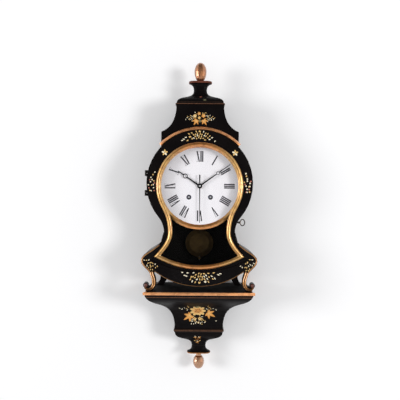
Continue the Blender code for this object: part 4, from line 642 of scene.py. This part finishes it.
X_AXIS, Y_AXIS, Z_AXIS = range(3)
DIAL_LOW, DIAL_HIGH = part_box("dial")
DIAL_MIDDLE = Vector((0.0, 0.0, 0.5 * (DIAL_LOW.z + DIAL_HIGH.z)))
# The door's ring: outer radius, radius at the middle of its black band, and height of its centre
RING_RADIUS = 0.1505
RING_MIDDLE = 0.1345
RING_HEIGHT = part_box("door_frame")[1].z - RING_RADIUS
CUP_LOW, CUP_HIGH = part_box("bracket_cup")
DOME_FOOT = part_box("crest_dome")[0].z


def on_ring(degrees, radius):
    """Point of the door's ring, by clockwise angle from the top."""
    angle = math.radians(degrees)
    return (radius * math.sin(angle), RING_HEIGHT + radius * math.cos(angle))


class CLOCK_OT_lacquer_case(bpy.types.Operator):
    """Black lacquer with its thin brown and gilt lines on the case, crest, door and bracket"""

    bl_idname = "clock.lacquer_case"
    bl_label = "Lacquer case"

    def execute(self, context):
        line = context.scene.clock_lacquer.line
        finish(black_lacquer("black_lacquer"), "case_shell", "crest_body", "door_frame", "left_front_leg",
               "right_front_leg", "front_apron", "left_rear_leg", "right_rear_leg")
        finish(black_lacquer("dusty_lacquer", gloss=(0.62, 0.80), shine=0.08), "bracket_shelf")
        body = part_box("bracket_body")[1].z - 0.0052
        bead = CUP_HIGH.z - 0.0060
        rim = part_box("bracket_flare")[0].z + 0.0012
        seam = DOME_FOOT + 0.0030
        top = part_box("crest_cap")[1].z - 0.0022
        faint = linear("#3A2A21")
        lined = (
            ("bracket_body", "bracket_lacquer", [(body, 0.0010, line)]),
            ("bracket_cup", "cup_lacquer", [(bead, 0.0042, linear("#35271F")), (bead, 0.0008, line)]),
            ("bracket_flare", "flare_lacquer", [(rim, 0.0016, linear("#A8713F"))]),
            ("crest_dome", "dome_lacquer", [(seam - 0.0055, 0.0006, faint), (seam, 0.0010, line),
                                            (seam + 0.0055, 0.0006, faint)]),
            # The cap's reddish-brown top band is partly brown lining and partly a painted highlight on the
            # lit upper part of its cove
            ("crest_cap", "cap_lacquer", [(top, 0.0036, linear("#6A3D30"))]),
        )
        for node, name, bands in lined:
            finish(black_lacquer(name, bands, gloss=(0.34, 0.48), shine=0.07), node)
        return {"FINISHED"}


class CLOCK_OT_gild_mouldings(bpy.types.Operator):
    """Gold leaf on the mouldings, shelf edge and the two finials"""

    bl_idname = "clock.gild_mouldings"
    bl_label = "Gild mouldings"

    def execute(self, context):
        look = context.scene.clock_gilding
        # The change to red leaf towards the middle is painted light and shade
        leaf = burnished_gilding("burnished_leaf", look.leaf, middle=look.middle)
        eased_copy("door_moulding", 0.0022, DOOR, leaf)
        pale = burnished_gilding("matt_leaf", linear("#F8AE70"), 0.46)
        for node, made in (("dial_bezel", leaf), ("arch_moulding", pale), ("shelf_gilt_edge", pale)):
            eased_copy(node, 0.0016, CASE, made)
        finish(leaf, "door_moulding", "dial_bezel")
        finish(pale, "arch_moulding", "shelf_gilt_edge")
        finish(burnished_gilding("finial_leaf", linear("#A96E40"), 0.34), "crest_finial")
        finish(burnished_gilding("pale_finial_leaf", linear("#B38563"), 0.36), "bracket_finial")
        return {"FINISHED"}


# Colour, darker colour, roughness and direction of the file marks of each metal, and its CAD nodes
METALS = {
    "lacquered_brass": ("#C8A25A", "#9C7536", 0.30, Z_AXIS, (
        "front_plate", "back_plate", "left_lower_pillar", "left_upper_pillar", "right_lower_pillar",
        "right_upper_pillar", "going_barrel", "strike_barrel", "centre_wheel", "third_wheel",
        "escape_wheel", "minute_wheel", "hour_wheel", "suspension_cock")),
    "blackened_iron": ("#2B2826", "#171412", 0.42, Z_AXIS, (
        "upper_hinge_leaf", "lower_hinge_leaf", "upper_door_leaf", "lower_door_leaf")),
    "bell_metal": ("#B9985C", "#8A6B38", 0.24, Z_AXIS, ("bell",)),
    "worn_steel": ("#E2E3E6", "#C9C7C4", 0.50, Y_AXIS, ("going_arbor", "strike_arbor")),
    "filed_steel": ("#8F9094", "#5D5A58", 0.28, Y_AXIS, (
        "cannon_pinion", "anchor", "pendulum_rod", "bell_stand", "hammer", "lock_hook", "lock_keeper")),
    "worn_key_steel": ("#6A625C", "#3C342F", 0.34, X_AXIS, ("door_key",)),
    "blued_steel": ("#23212B", "#17151C", 0.26, Z_AXIS, ("hour_hand", "minute_hand", "seconds_hand")),
}


class CLOCK_OT_finish_movement(bpy.types.Operator):
    """Brass, steel, glass and bare wood of the movement, lock, hinges and backs"""

    bl_idname = "clock.finish_movement"
    bl_label = "Finish movement"

    def execute(self, context):
        for name, (pale, dark, roughness, axis, nodes) in METALS.items():
            finish(worked_metal(name, pale, dark, roughness, axis), *nodes)
        # Darker, duller brass on the pendulum bob and its nut
        dull = worked_metal("dark_dull_brass", "#6F5A36", "#44341F", 0.46, X_AXIS, 1.2)
        finish(dull, "pendulum_bob", "rating_nut")
        pine = ("#6B5034", "#3E2C1C")
        finish(old_pine("old_pine_upright", *pine, Z_AXIS), "case_backboard", "bracket_backboard")
        finish(old_pine("old_pine_level", *pine, X_AXIS), "case_floor", "movement_seat")
        finish(window_glass("drawn_glass"), "door_glass")

        # A near-black sheet over the inside face of the case's back: painted shade, standing in for the
        # dark inside of the case seen through the lower glass
        bm = bmesh.new()
        bm.from_mesh(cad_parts["case_backboard"].data)
        bmesh.ops.remove_doubles(bm, verts=bm.verts, dist=1e-6)
        sides = [face for face in bm.faces if face.normal.y > -0.9]
        bmesh.ops.delete(bm, geom=sides, context="FACES")
        bmesh.ops.translate(bm, verts=bm.verts, vec=(0.0, -PAINT_GAP, 0.0))
        raise_faces(bm, 0.0001)
        # Near-black colours: painted shade, not a stain
        shade_sheet = old_pine("painted_shade_pine", "#0A0807", "#050403", Z_AXIS, 0.08)
        new_piece("back_lining", bm, CASE, "wood", shade_sheet)
        return {"FINISHED"}


def figure_bar(bm, start, end, wide_start, wide_end):
    """A stroke of a figure as a flat bar with parallel level ends."""
    ends = ((start, 0.5 * wide_start), (end, 0.5 * wide_end))
    corners = [bm.verts.new((point[0] + sign * half, 0.0, point[1]))
               for (point, half), signs in zip(ends, ((-1, 1), (1, -1))) for sign in signs]
    bm.faces.new(corners)


def hour_figure(bm, text, height, thick):
    """Strokes of a Roman number, centred, with its foot at zero."""
    hair = 0.14 * thick
    broad = 3.1 * thick
    widths = {"I": 1.38 * thick, "V": broad, "X": broad}
    x = -0.5 * sum(widths[letter] for letter in text)
    for letter in text:
        half = 0.5 * widths[letter]
        middle = x + half
        reach = half - 0.6 * thick
        if letter == "I":
            figure_bar(bm, (middle, 0.0), (middle, height), thick, thick)
        elif letter == "V":
            figure_bar(bm, (middle, 0.0), (middle - reach, height), 0.6 * thick, thick)
            figure_bar(bm, (middle, 0.0), (middle + reach, height), 0.6 * thick, hair)
        else:
            figure_bar(bm, (middle + reach, 0.0), (middle - reach, height), thick, thick)
            figure_bar(bm, (middle - reach, 0.0), (middle + reach, height), hair, hair)
        serif = 2 * half - 0.25 * thick
        for foot in (0.0, height - hair):
            if letter != "V" or foot > 0.0:
                figure_bar(bm, (middle, foot), (middle, foot + hair), serif, serif)
        x += widths[letter]


# Sections of the collets round the winding holes and of the hands' cap: radius, and depth behind the front
COLLET_SECTION = ((0.0070, -TRIM_GAP), (0.0070, -0.0004), (0.0058, -0.0006), (0.0038, 0.0005),
                  (0.0038, 0.0009), (0.0058, 0.0004), (0.0058, -TRIM_GAP))
CAP_SECTION = ((0.0024, 0.0), (0.0024, -0.0002), (0.0016, -0.0005), (0.0, -0.0006))


class CLOCK_OT_draw_dial(bpy.types.Operator):
    """White enamel with painted Roman hour figures, winding collets and the cap on the hands' centre"""

    bl_idname = "clock.draw_dial"
    bl_label = "Draw dial"

    def execute(self, context):
        look = context.scene.clock_dial
        finish(fired_enamel("fired_enamel"), "dial")
        figures = ("I", "II", "III", "IIII", "V", "VI", "VII", "VIII", "IX", "X", "XI", "XII")
        place = Matrix.Translation((DIAL_MIDDLE.x, DIAL_LOW.y - TRIM_GAP, DIAL_MIDDLE.z))
        shift = Matrix.Translation((0.0, 0.0, look.figure_inner))
        bm = bmesh.new()
        for i, text in enumerate(figures):
            drawn = len(bm.verts)
            hour_figure(bm, text, look.figure_outer - look.figure_inner, look.stroke)
            bm.verts.ensure_lookup_table()
            turn = Matrix.Rotation(math.radians(30 * (i + 1)), 4, "Y")
            bmesh.ops.transform(bm, matrix=place @ turn @ shift, verts=bm.verts[drawn:])
        raise_faces(bm, 0.00012)
        new_piece("hour_figures", bm, CASE, "enamel", dial_ink("dial_ink"))

        bm = bmesh.new()
        for node in ("going_arbor", "strike_arbor"):
            low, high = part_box(node)
            middle = Vector((0.5 * (low.x + high.x), 0.0, 0.5 * (low.z + high.z)))
            spin_section(bm, middle, DIAL_LOW.y, COLLET_SECTION, 32, 0)
        bmesh.ops.remove_doubles(bm, verts=bm.verts, dist=1e-6)
        bmesh.ops.recalc_face_normals(bm, faces=bm.faces)
        new_piece("winding_collets", bm, CASE, "steel", bpy.data.materials["blued_steel"])

        bm = bmesh.new()
        spin_section(bm, DIAL_MIDDLE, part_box("seconds_hand")[0].y - TRIM_GAP, CAP_SECTION, 24, 1)
        bmesh.ops.remove_doubles(bm, verts=bm.verts, dist=1e-6)
        bmesh.ops.holes_fill(bm, edges=[edge for edge in bm.edges if edge.is_boundary], sides=0)
        bmesh.ops.recalc_face_normals(bm, faces=bm.faces)
        new_piece("centre_cap", bm, "escape", "steel", bpy.data.materials["worn_steel"])
        return {"FINISHED"}


# Gilt lines of the front, listed on the right side and mirrored on the left
HIP_LINE = ((0.1118, 0.1850), (0.1215, 0.1773), (0.1308, 0.1704), (0.1425, 0.1625), (0.1522, 0.1560),
            (0.1594, 0.1475), (0.1614, 0.1400), (0.1590, 0.1318), (0.1525, 0.1236), (0.1443, 0.1157),
            (0.1385, 0.1080))
LEG_LINE = ((0.1350, 0.1085), (0.1333, 0.1030), (0.1310, 0.0960), (0.1288, 0.0890), (0.1275, 0.0820),
            (0.1275, 0.0750), (0.1295, 0.0685), (0.1335, 0.0632), (0.1390, 0.0603), (0.1450, 0.0600),
            (0.1500, 0.0623), (0.1535, 0.0660))
FOOT_EYE = (0.1500, 0.0713)
FOOT_KNOB_RADIUS = 0.0052
# The gilt line under the apron: half its width, height at its lowest point and radius of its arc
APRON_HALF = 0.1255
APRON_LOW = 0.0692
APRON_SWING = 0.2090
APRON_STEPS = 48


class CLOCK_OT_gild_legs(bpy.types.Operator):
    """Gilt lines over the hips, gilt front legs with scrolled feet, and the line under the apron"""

    bl_idname = "clock.gild_legs"
    bl_label = "Gild legs"

    def execute(self, context):
        look = context.scene.clock_gilding
        leaf = burnished_gilding("rubbed_leaf", look.worn)
        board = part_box("left_front_leg")[0].y - 2 * TRIM_GAP
        for side, label in ((-1, "left"), (1, "right")):
            path = smooth_path([(side * x, z) for x, z in HIP_LINE], 3)
            count = len(path)
            widths = [look.hip_width * (0.55 + 0.45 * min(1.0, 5.0 * i / count)) for i in range(count)]
            new_piece(label + "_hip_line", sweep(path, widths, look.rise, 1, board), CASE, "gilt", leaf)
            path = smooth_path([(side * x, z) for x, z in LEG_LINE], 3)
            count = len(path)
            taper = [max(0.0, (i / count - 0.45) / 0.55) for i in range(count)]
            widths = [look.leg_width * (1.0 - 0.62 * t) for t in taper]
            scroll = sweep(path, widths, 1.3 * look.rise, 2, board)
            new_piece(label + "_leg_gilding", scroll, CASE, "gilt", leaf)
        bm = bmesh.new()
        flatten = Matrix.Diagonal((1.0, 0.55, 1.0, 1.0))
        for side in (-1, 1):
            place = Matrix.Translation((side * FOOT_EYE[0], board, FOOT_EYE[1])) @ flatten
            knob = bmesh.ops.create_uvsphere(bm, u_segments=20, v_segments=12, radius=FOOT_KNOB_RADIUS,
                                             matrix=place)
            for vert in knob["verts"]:
                vert.co.y = min(vert.co.y, board)
        new_piece("foot_knobs", bm, CASE, "lacquer", plum_lacquer("plum_lacquer"))
        path = []
        for i in range(APRON_STEPS + 1):
            x = APRON_HALF * (2 * i / APRON_STEPS - 1)
            path.append((x, APRON_LOW + APRON_SWING - math.sqrt(APRON_SWING ** 2 - x * x)))
        line = burnished_gilding("dull_line_leaf", linear("#A77B45"), 0.42)
        new_piece("apron_line", sweep(path, [0.0019] * len(path), 0.0009, 1, board), CASE, "gilt", line)
        return {"FINISHED"}


class CLOCK_OT_paint_crest(bpy.types.Operator):
    """Bunch of leaves and blossoms on the crest and two sprigs on its dome"""

    bl_idname = "clock.paint_crest"
    bl_label = "Paint crest"

    def execute(self, context):
        chance = random.Random(context.scene.clock_flowers.seed)
        z = 0.5405
        bm = bmesh.new()
        for side in (-1, 1):
            stalk = (side * 0.0105, z - 0.0010)
            vine_leaf(bm, stalk, math.radians(90 - side * 150), 0.0156, AMBER)
            stem = [(side * a, z + b) for a, b in ((0.017, 0.004), (0.028, 0.007), (0.043, 0.004))]
            spray(bm, stem, 2, 0.0044, chance, pale=0.5)
            spray(bm, [(side * 0.004, z + 0.012), (side * 0.016, z + 0.022)], 1, 0.0046, chance)
        for x, up, radius, paint, eye, turn in ((-0.0150, 0.0115, 0.0056, GOLD, CREAM, 0.3),
                                                (0.0095, 0.0125, 0.0060, AMBER, GOLD, 0.9),
                                                (-0.0025, 0.0065, 0.0046, GOLD, AMBER, 0.1),
                                                (-0.0030, 0.0185, 0.0050, AMBER, GOLD, 0.5)):
            blossom(bm, (x, z + up), radius, paint, eye, turn, 0.6)
        for angle in (200, 250, 290, 340):
            petal(bm, (0.0, z), math.radians(angle), 0.0080, 0.0032, GREEN)
        paint_piece("crest_bouquet", bm, ["crest_body"], CASE)
        bm = bmesh.new()
        for x, up, size, paint in ((0.001, 0.0250, 0.0046, ROSE), (0.013, 0.0130, 0.0056, GREEN)):
            for angle in (20, 65, 115, 160):
                petal(bm, (x, DOME_FOOT + up), math.radians(angle), size, 0.0020, paint)
        paint_piece("dome_sprigs", bm, ["crest_dome"], CASE)
        return {"FINISHED"}


# Rows of leaves in a mound: share of its full size, and count
WIDE_ROWS = ((0.12, 3), (0.36, 8), (0.64, 12), (0.94, 15))
ROUND_ROWS = ((0.05, 3), (0.36, 6), (0.66, 8), (0.97, 9))
# Buds of a side bunch on the door's ring, outwards and up from its middle
SIDE_BUNCH = ((-0.0070, 0.0350), (-0.0035, 0.0270), (0.0009, 0.0200), (0.0070, 0.0130), (-0.0009, 0.0130),
              (-0.0076, 0.0105), (0.0050, 0.0075), (-0.0074, 0.0035), (0.0079, -0.0009), (0.0018, -0.0018),
              (-0.0045, -0.0010), (0.0060, -0.0096), (-0.0035, -0.0090), (0.0055, -0.0175),
              (0.0000, -0.0175), (-0.0055, -0.0170))


class CLOCK_OT_paint_ring(bpy.types.Operator):
    """Mound of leaves at the top of the door's ring, bunches of buds at its sides and two stars"""

    bl_idname = "clock.paint_ring"
    bl_label = "Paint ring"

    def execute(self, context):
        chance = random.Random(context.scene.clock_flowers.seed + 1)
        bm = bmesh.new()
        base = on_ring(-2.0, RING_MIDDLE - 0.0115)
        mound(bm, base, 0.0500, 0.0235, -0.5 / RING_MIDDLE, WIDE_ROWS, 0.0057, chance)
        paint_piece("ring_spray", bm, ["door_frame"], DOOR)
        bm = bmesh.new()
        for side, centre, bud in ((-1, -92.3, 0.0042), (1, 93.6, 0.0050)):
            heart = on_ring(centre, RING_MIDDLE + 0.001)
            for i, (out, up) in enumerate(SIDE_BUNCH):
                spot = (heart[0] + side * out, heart[1] + up)
                paint = (CREAM, GOLD, CREAM, ROSE)[i % 4]
                petal(bm, spot, math.radians(40 + 50 * (i % 3)), bud, 0.8 * bud, paint, point=0.0)
        paint_piece("side_sprays", bm, ["door_frame"], DOOR)
        bm = bmesh.new()
        dot = 0.0032
        for side in (-1, 1):
            centre = on_ring(side * 49, RING_MIDDLE - 0.0030)
            for i in range(5):
                paint = CREAM if i % 2 else GOLD
                petal(bm, centre, math.radians(90 + 72 * i), 0.0088, 0.0044, paint, point=-0.2)
            petal(bm, (centre[0] - 0.5 * dot, centre[1]), 0.0, dot, dot, GREEN, 2.0, 0.0)
        paint_piece("ring_stars", bm, ["door_frame"], DOOR)
        return {"FINISHED"}


class CLOCK_OT_paint_front(bpy.types.Operator):
    """Mounds of leaves on the knees and the apron below the door"""

    bl_idname = "clock.paint_front"
    bl_label = "Paint front"

    def execute(self, context):
        chance = random.Random(context.scene.clock_flowers.seed + 2)
        for side, label in ((-1, "left"), (1, "right")):
            bm = bmesh.new()
            base = (side * 0.1325, 0.1465)
            mound(bm, base, 0.0240, -0.0310, 0.0, ROUND_ROWS, 0.0049, chance)
            paint_piece(label + "_knee_spray", bm, [label + "_front_leg", "front_apron"], CASE)
        bm = bmesh.new()
        mound(bm, (0.0055, 0.1085), 0.0570, -0.0275, 0.4, WIDE_ROWS, 0.0063, chance)
        paint_piece("apron_spray", bm, ["front_apron"], CASE)
        return {"FINISHED"}


class CLOCK_OT_paint_bracket(bpy.types.Operator):
    """Rose with vine leaves and blossoms on the bracket and a small motif on its cup"""

    bl_idname = "clock.paint_bracket"
    bl_label = "Paint bracket"

    def execute(self, context):
        chance = random.Random(context.scene.clock_flowers.seed + 3)
        bm = bmesh.new()
        x, z = -0.003, -0.0130
        rose = ((11, 0.0165, GOLD), (9, 0.0118, AMBER), (7, 0.0090, UMBER), (5, 0.0050, AMBER))
        for ring, (count, reach, paint) in enumerate(rose):
            for i in range(count):
                angle = 2 * math.pi * i / count + 0.4 * ring
                long = reach * (0.74 + 0.72 * abs(math.cos(angle)))
                wide = 0.0074 - 0.0012 * ring
                petal(bm, (x, z), angle, long, wide, paint, 1 + 0.8 * ring, -0.35)
        vine_leaf(bm, (x - 0.0225, z - 0.0165), math.radians(215), 0.0235, AMBER)
        vine_leaf(bm, (x + 0.0310, z - 0.0080), math.radians(-30), 0.0235, AMBER)
        for dx, dz, size in ((-0.009, -0.0265, 0.0058), (0.006, -0.0255, 0.0062)):
            blossom(bm, (x + dx, z + dz), size, GOLD, UMBER, 0.3, 0.5)
        for side in (-1, 1):
            stem = [(x + side * a, z + b) for a, b in ((0.022, 0.009), (0.036, 0.010), (0.054, 0.005))]
            spray(bm, stem, 1, 0.0060, chance, pale=0.7)
            stem = [(x + side * 0.002, z - 0.026), (x + side * 0.020, z - 0.040)]
            spray(bm, stem, 2, 0.0056, chance, pale=0.5)
        for angle in (35, 75, 105, 145):
            petal(bm, (x, z + 0.009), math.radians(angle), 0.0120, 0.0040, GREEN)
        petal(bm, (x + 0.052, z - 0.0330), math.radians(20), 0.0050, 0.0022, CREAM)
        paint_piece("bracket_bouquet", bm, ["bracket_body"], CASE)
        bm = bmesh.new()
        x, z = -0.004, 0.5 * (CUP_LOW.z + CUP_HIGH.z) - 0.0070
        for dx, dz, turn in ((-0.0062, 0.0090, 0.2), (0.0060, 0.0080, 0.7), (0.0006, -0.0098, 0.4)):
            for i in range(4):
                paint = CREAM if i == 1 else AMBER
                petal(bm, (x + dx, z + dz), turn + 0.5 * math.pi * i, 0.0052, 0.0023, paint)
        for angle, reach in ((25, 0.0095), (80, 0.0085), (165, 0.0092), (215, 0.0100), (325, 0.0100),
                             (270, 0.0060)):
            petal(bm, (x, z), math.radians(angle), reach, 0.0017, UMBER)
        for side in (-1, 1):
            root = (x + side * 0.0052, z - 0.0072)
            petal(bm, root, math.radians(90 - side * 60), 0.0058, 0.0024, GOLD)
        paint_piece("cup_motif", bm, ["bracket_cup"], CASE)
        return {"FINISHED"}


def stage_sheet(name, size, place, made):
    """A large flat sheet for the studio."""
    bm = bmesh.new()
    bmesh.ops.create_grid(bm, x_segments=1, y_segments=1, size=0.5,
                          matrix=place @ Matrix.Diagonal((*size, 1.0, 1.0)))
    mesh = bpy.data.meshes.new(name)
    bm.to_mesh(mesh)
    bm.free()
    mesh.materials.append(made)
    return put(name, mesh)


FLOOR_HEIGHT = -1.15
# The wall stands this far behind the clock's back
WALL_GAP = 0.0015
LAMP_AIM = Vector((0.0, -0.08, 0.30))


class CLOCK_OT_set_stage(bpy.types.Operator):
    """White wall and floor, three soft lamps, room light and the camera"""

    bl_idname = "clock.set_stage"
    bl_label = "Set stage"

    def execute(self, context):
        look = context.scene.clock_studio
        scene = context.scene
        upright = Matrix.Rotation(math.radians(90), 4, "X")
        wall = stage_sheet("wall", (12.0, 8.0),
                           Matrix.Translation((0.0, WALL_GAP, FLOOR_HEIGHT + 4.0)) @ upright,
                           wall_paint("wall_paint", look.wall))
        floor = stage_sheet("floor", (12.0, 6.0), Matrix.Translation((0.0, -3.0, FLOOR_HEIGHT)),
                            wall_paint("floor_paint", look.wall))

        lamps = (("right_lamp", (2.33, -2.48, 0.45), 0.90, look.key_power),
                 ("left_lamp", (-3.35, -2.15, 0.50), 1.50, look.fill_power),
                 ("back_lamp", (-1.1, 1.7, 1.3), 1.4, look.back_power))
        for name, spot, size, power in lamps:
            data = bpy.data.lights.new(name, "AREA")
            data.shape = "DISK"
            data.size = size
            data.energy = power
            lamp = put(name, data)
            lamp.location = spot
            lamp.rotation_euler = (LAMP_AIM - Vector(spot)).to_track_quat("-Z", "Y").to_euler()

        world = bpy.data.worlds.new("room")
        world.use_nodes = True
        tree = world.node_tree
        way = add(tree, "ShaderNodeTexCoord").outputs["Generated"]
        aside = maths(tree, "ABSOLUTE", split(tree, way, "X"))
        mirrored = spread(tree, aside, 0.30, 0.72, look.dim, look.side)
        ray = add(tree, "ShaderNodeLightPath").outputs
        lit = add(tree, "ShaderNodeMix", {0: ray["Is Glossy Ray"], 2: look.sky, 3: mirrored}).outputs[0]
        seen = maths(tree, "MAXIMUM", ray["Is Camera Ray"], ray["Is Transmission Ray"])
        level = add(tree, "ShaderNodeMix", {0: seen, 2: lit, 3: 1.0}).outputs[0]
        back = tree.nodes["Background"]
        back.inputs["Color"].default_value = (1.0, 1.0, 1.0, 1.0)
        tree.links.new(level, back.inputs["Strength"])
        scene.world = world
        scene.view_settings.view_transform = "Standard"

        data = bpy.data.cameras.new("camera")
        data.angle = look.field
        camera = put("camera", data)
        camera.location = (0.0011, -look.distance, look.height)
        camera.rotation_euler = (math.radians(90), -look.roll, 0.0)
        scene.camera = camera
        return {"FINISHED"}


OPERATORS = (CLOCK_OT_lacquer_case, CLOCK_OT_gild_mouldings, CLOCK_OT_finish_movement, CLOCK_OT_draw_dial,
             CLOCK_OT_gild_legs, CLOCK_OT_paint_crest, CLOCK_OT_paint_ring, CLOCK_OT_paint_front,
             CLOCK_OT_paint_bracket, CLOCK_OT_set_stage)


class CLOCK_PT_panel(bpy.types.Panel):
    bl_label = "Bracket clock"
    bl_space_type = "VIEW_3D"
    bl_region_type = "UI"
    bl_category = "Clock"

    def draw(self, context):
        for kind in OPERATORS:
            self.layout.operator(kind.bl_idname)
        for name, group in SETTINGS.items():
            part = self.layout.box()
            for key in group.__annotations__:
                part.prop(getattr(context.scene, name), key)


CLASSES = (*SETTINGS.values(), *OPERATORS, CLOCK_PT_panel)


def register():
    for kind in CLASSES:
        bpy.utils.register_class(kind)
    for name, group in SETTINGS.items():
        setattr(bpy.types.Scene, name, PointerProperty(type=group))


def unregister():
    for name in SETTINGS:
        delattr(bpy.types.Scene, name)
    for kind in reversed(CLASSES):
        bpy.utils.unregister_class(kind)


def main():
    register()
    bpy.context.view_layer.update()
    bpy.ops.clock.lacquer_case()
    bpy.ops.clock.gild_mouldings()
    bpy.ops.clock.finish_movement()
    bpy.ops.clock.draw_dial()
    bpy.ops.clock.gild_legs()
    bpy.ops.clock.paint_crest()
    bpy.ops.clock.paint_ring()
    bpy.ops.clock.paint_front()
    bpy.ops.clock.paint_bracket()
    bpy.ops.clock.set_stage()
    bpy.context.view_layer.update()


if __name__ == "__main__":
    main()
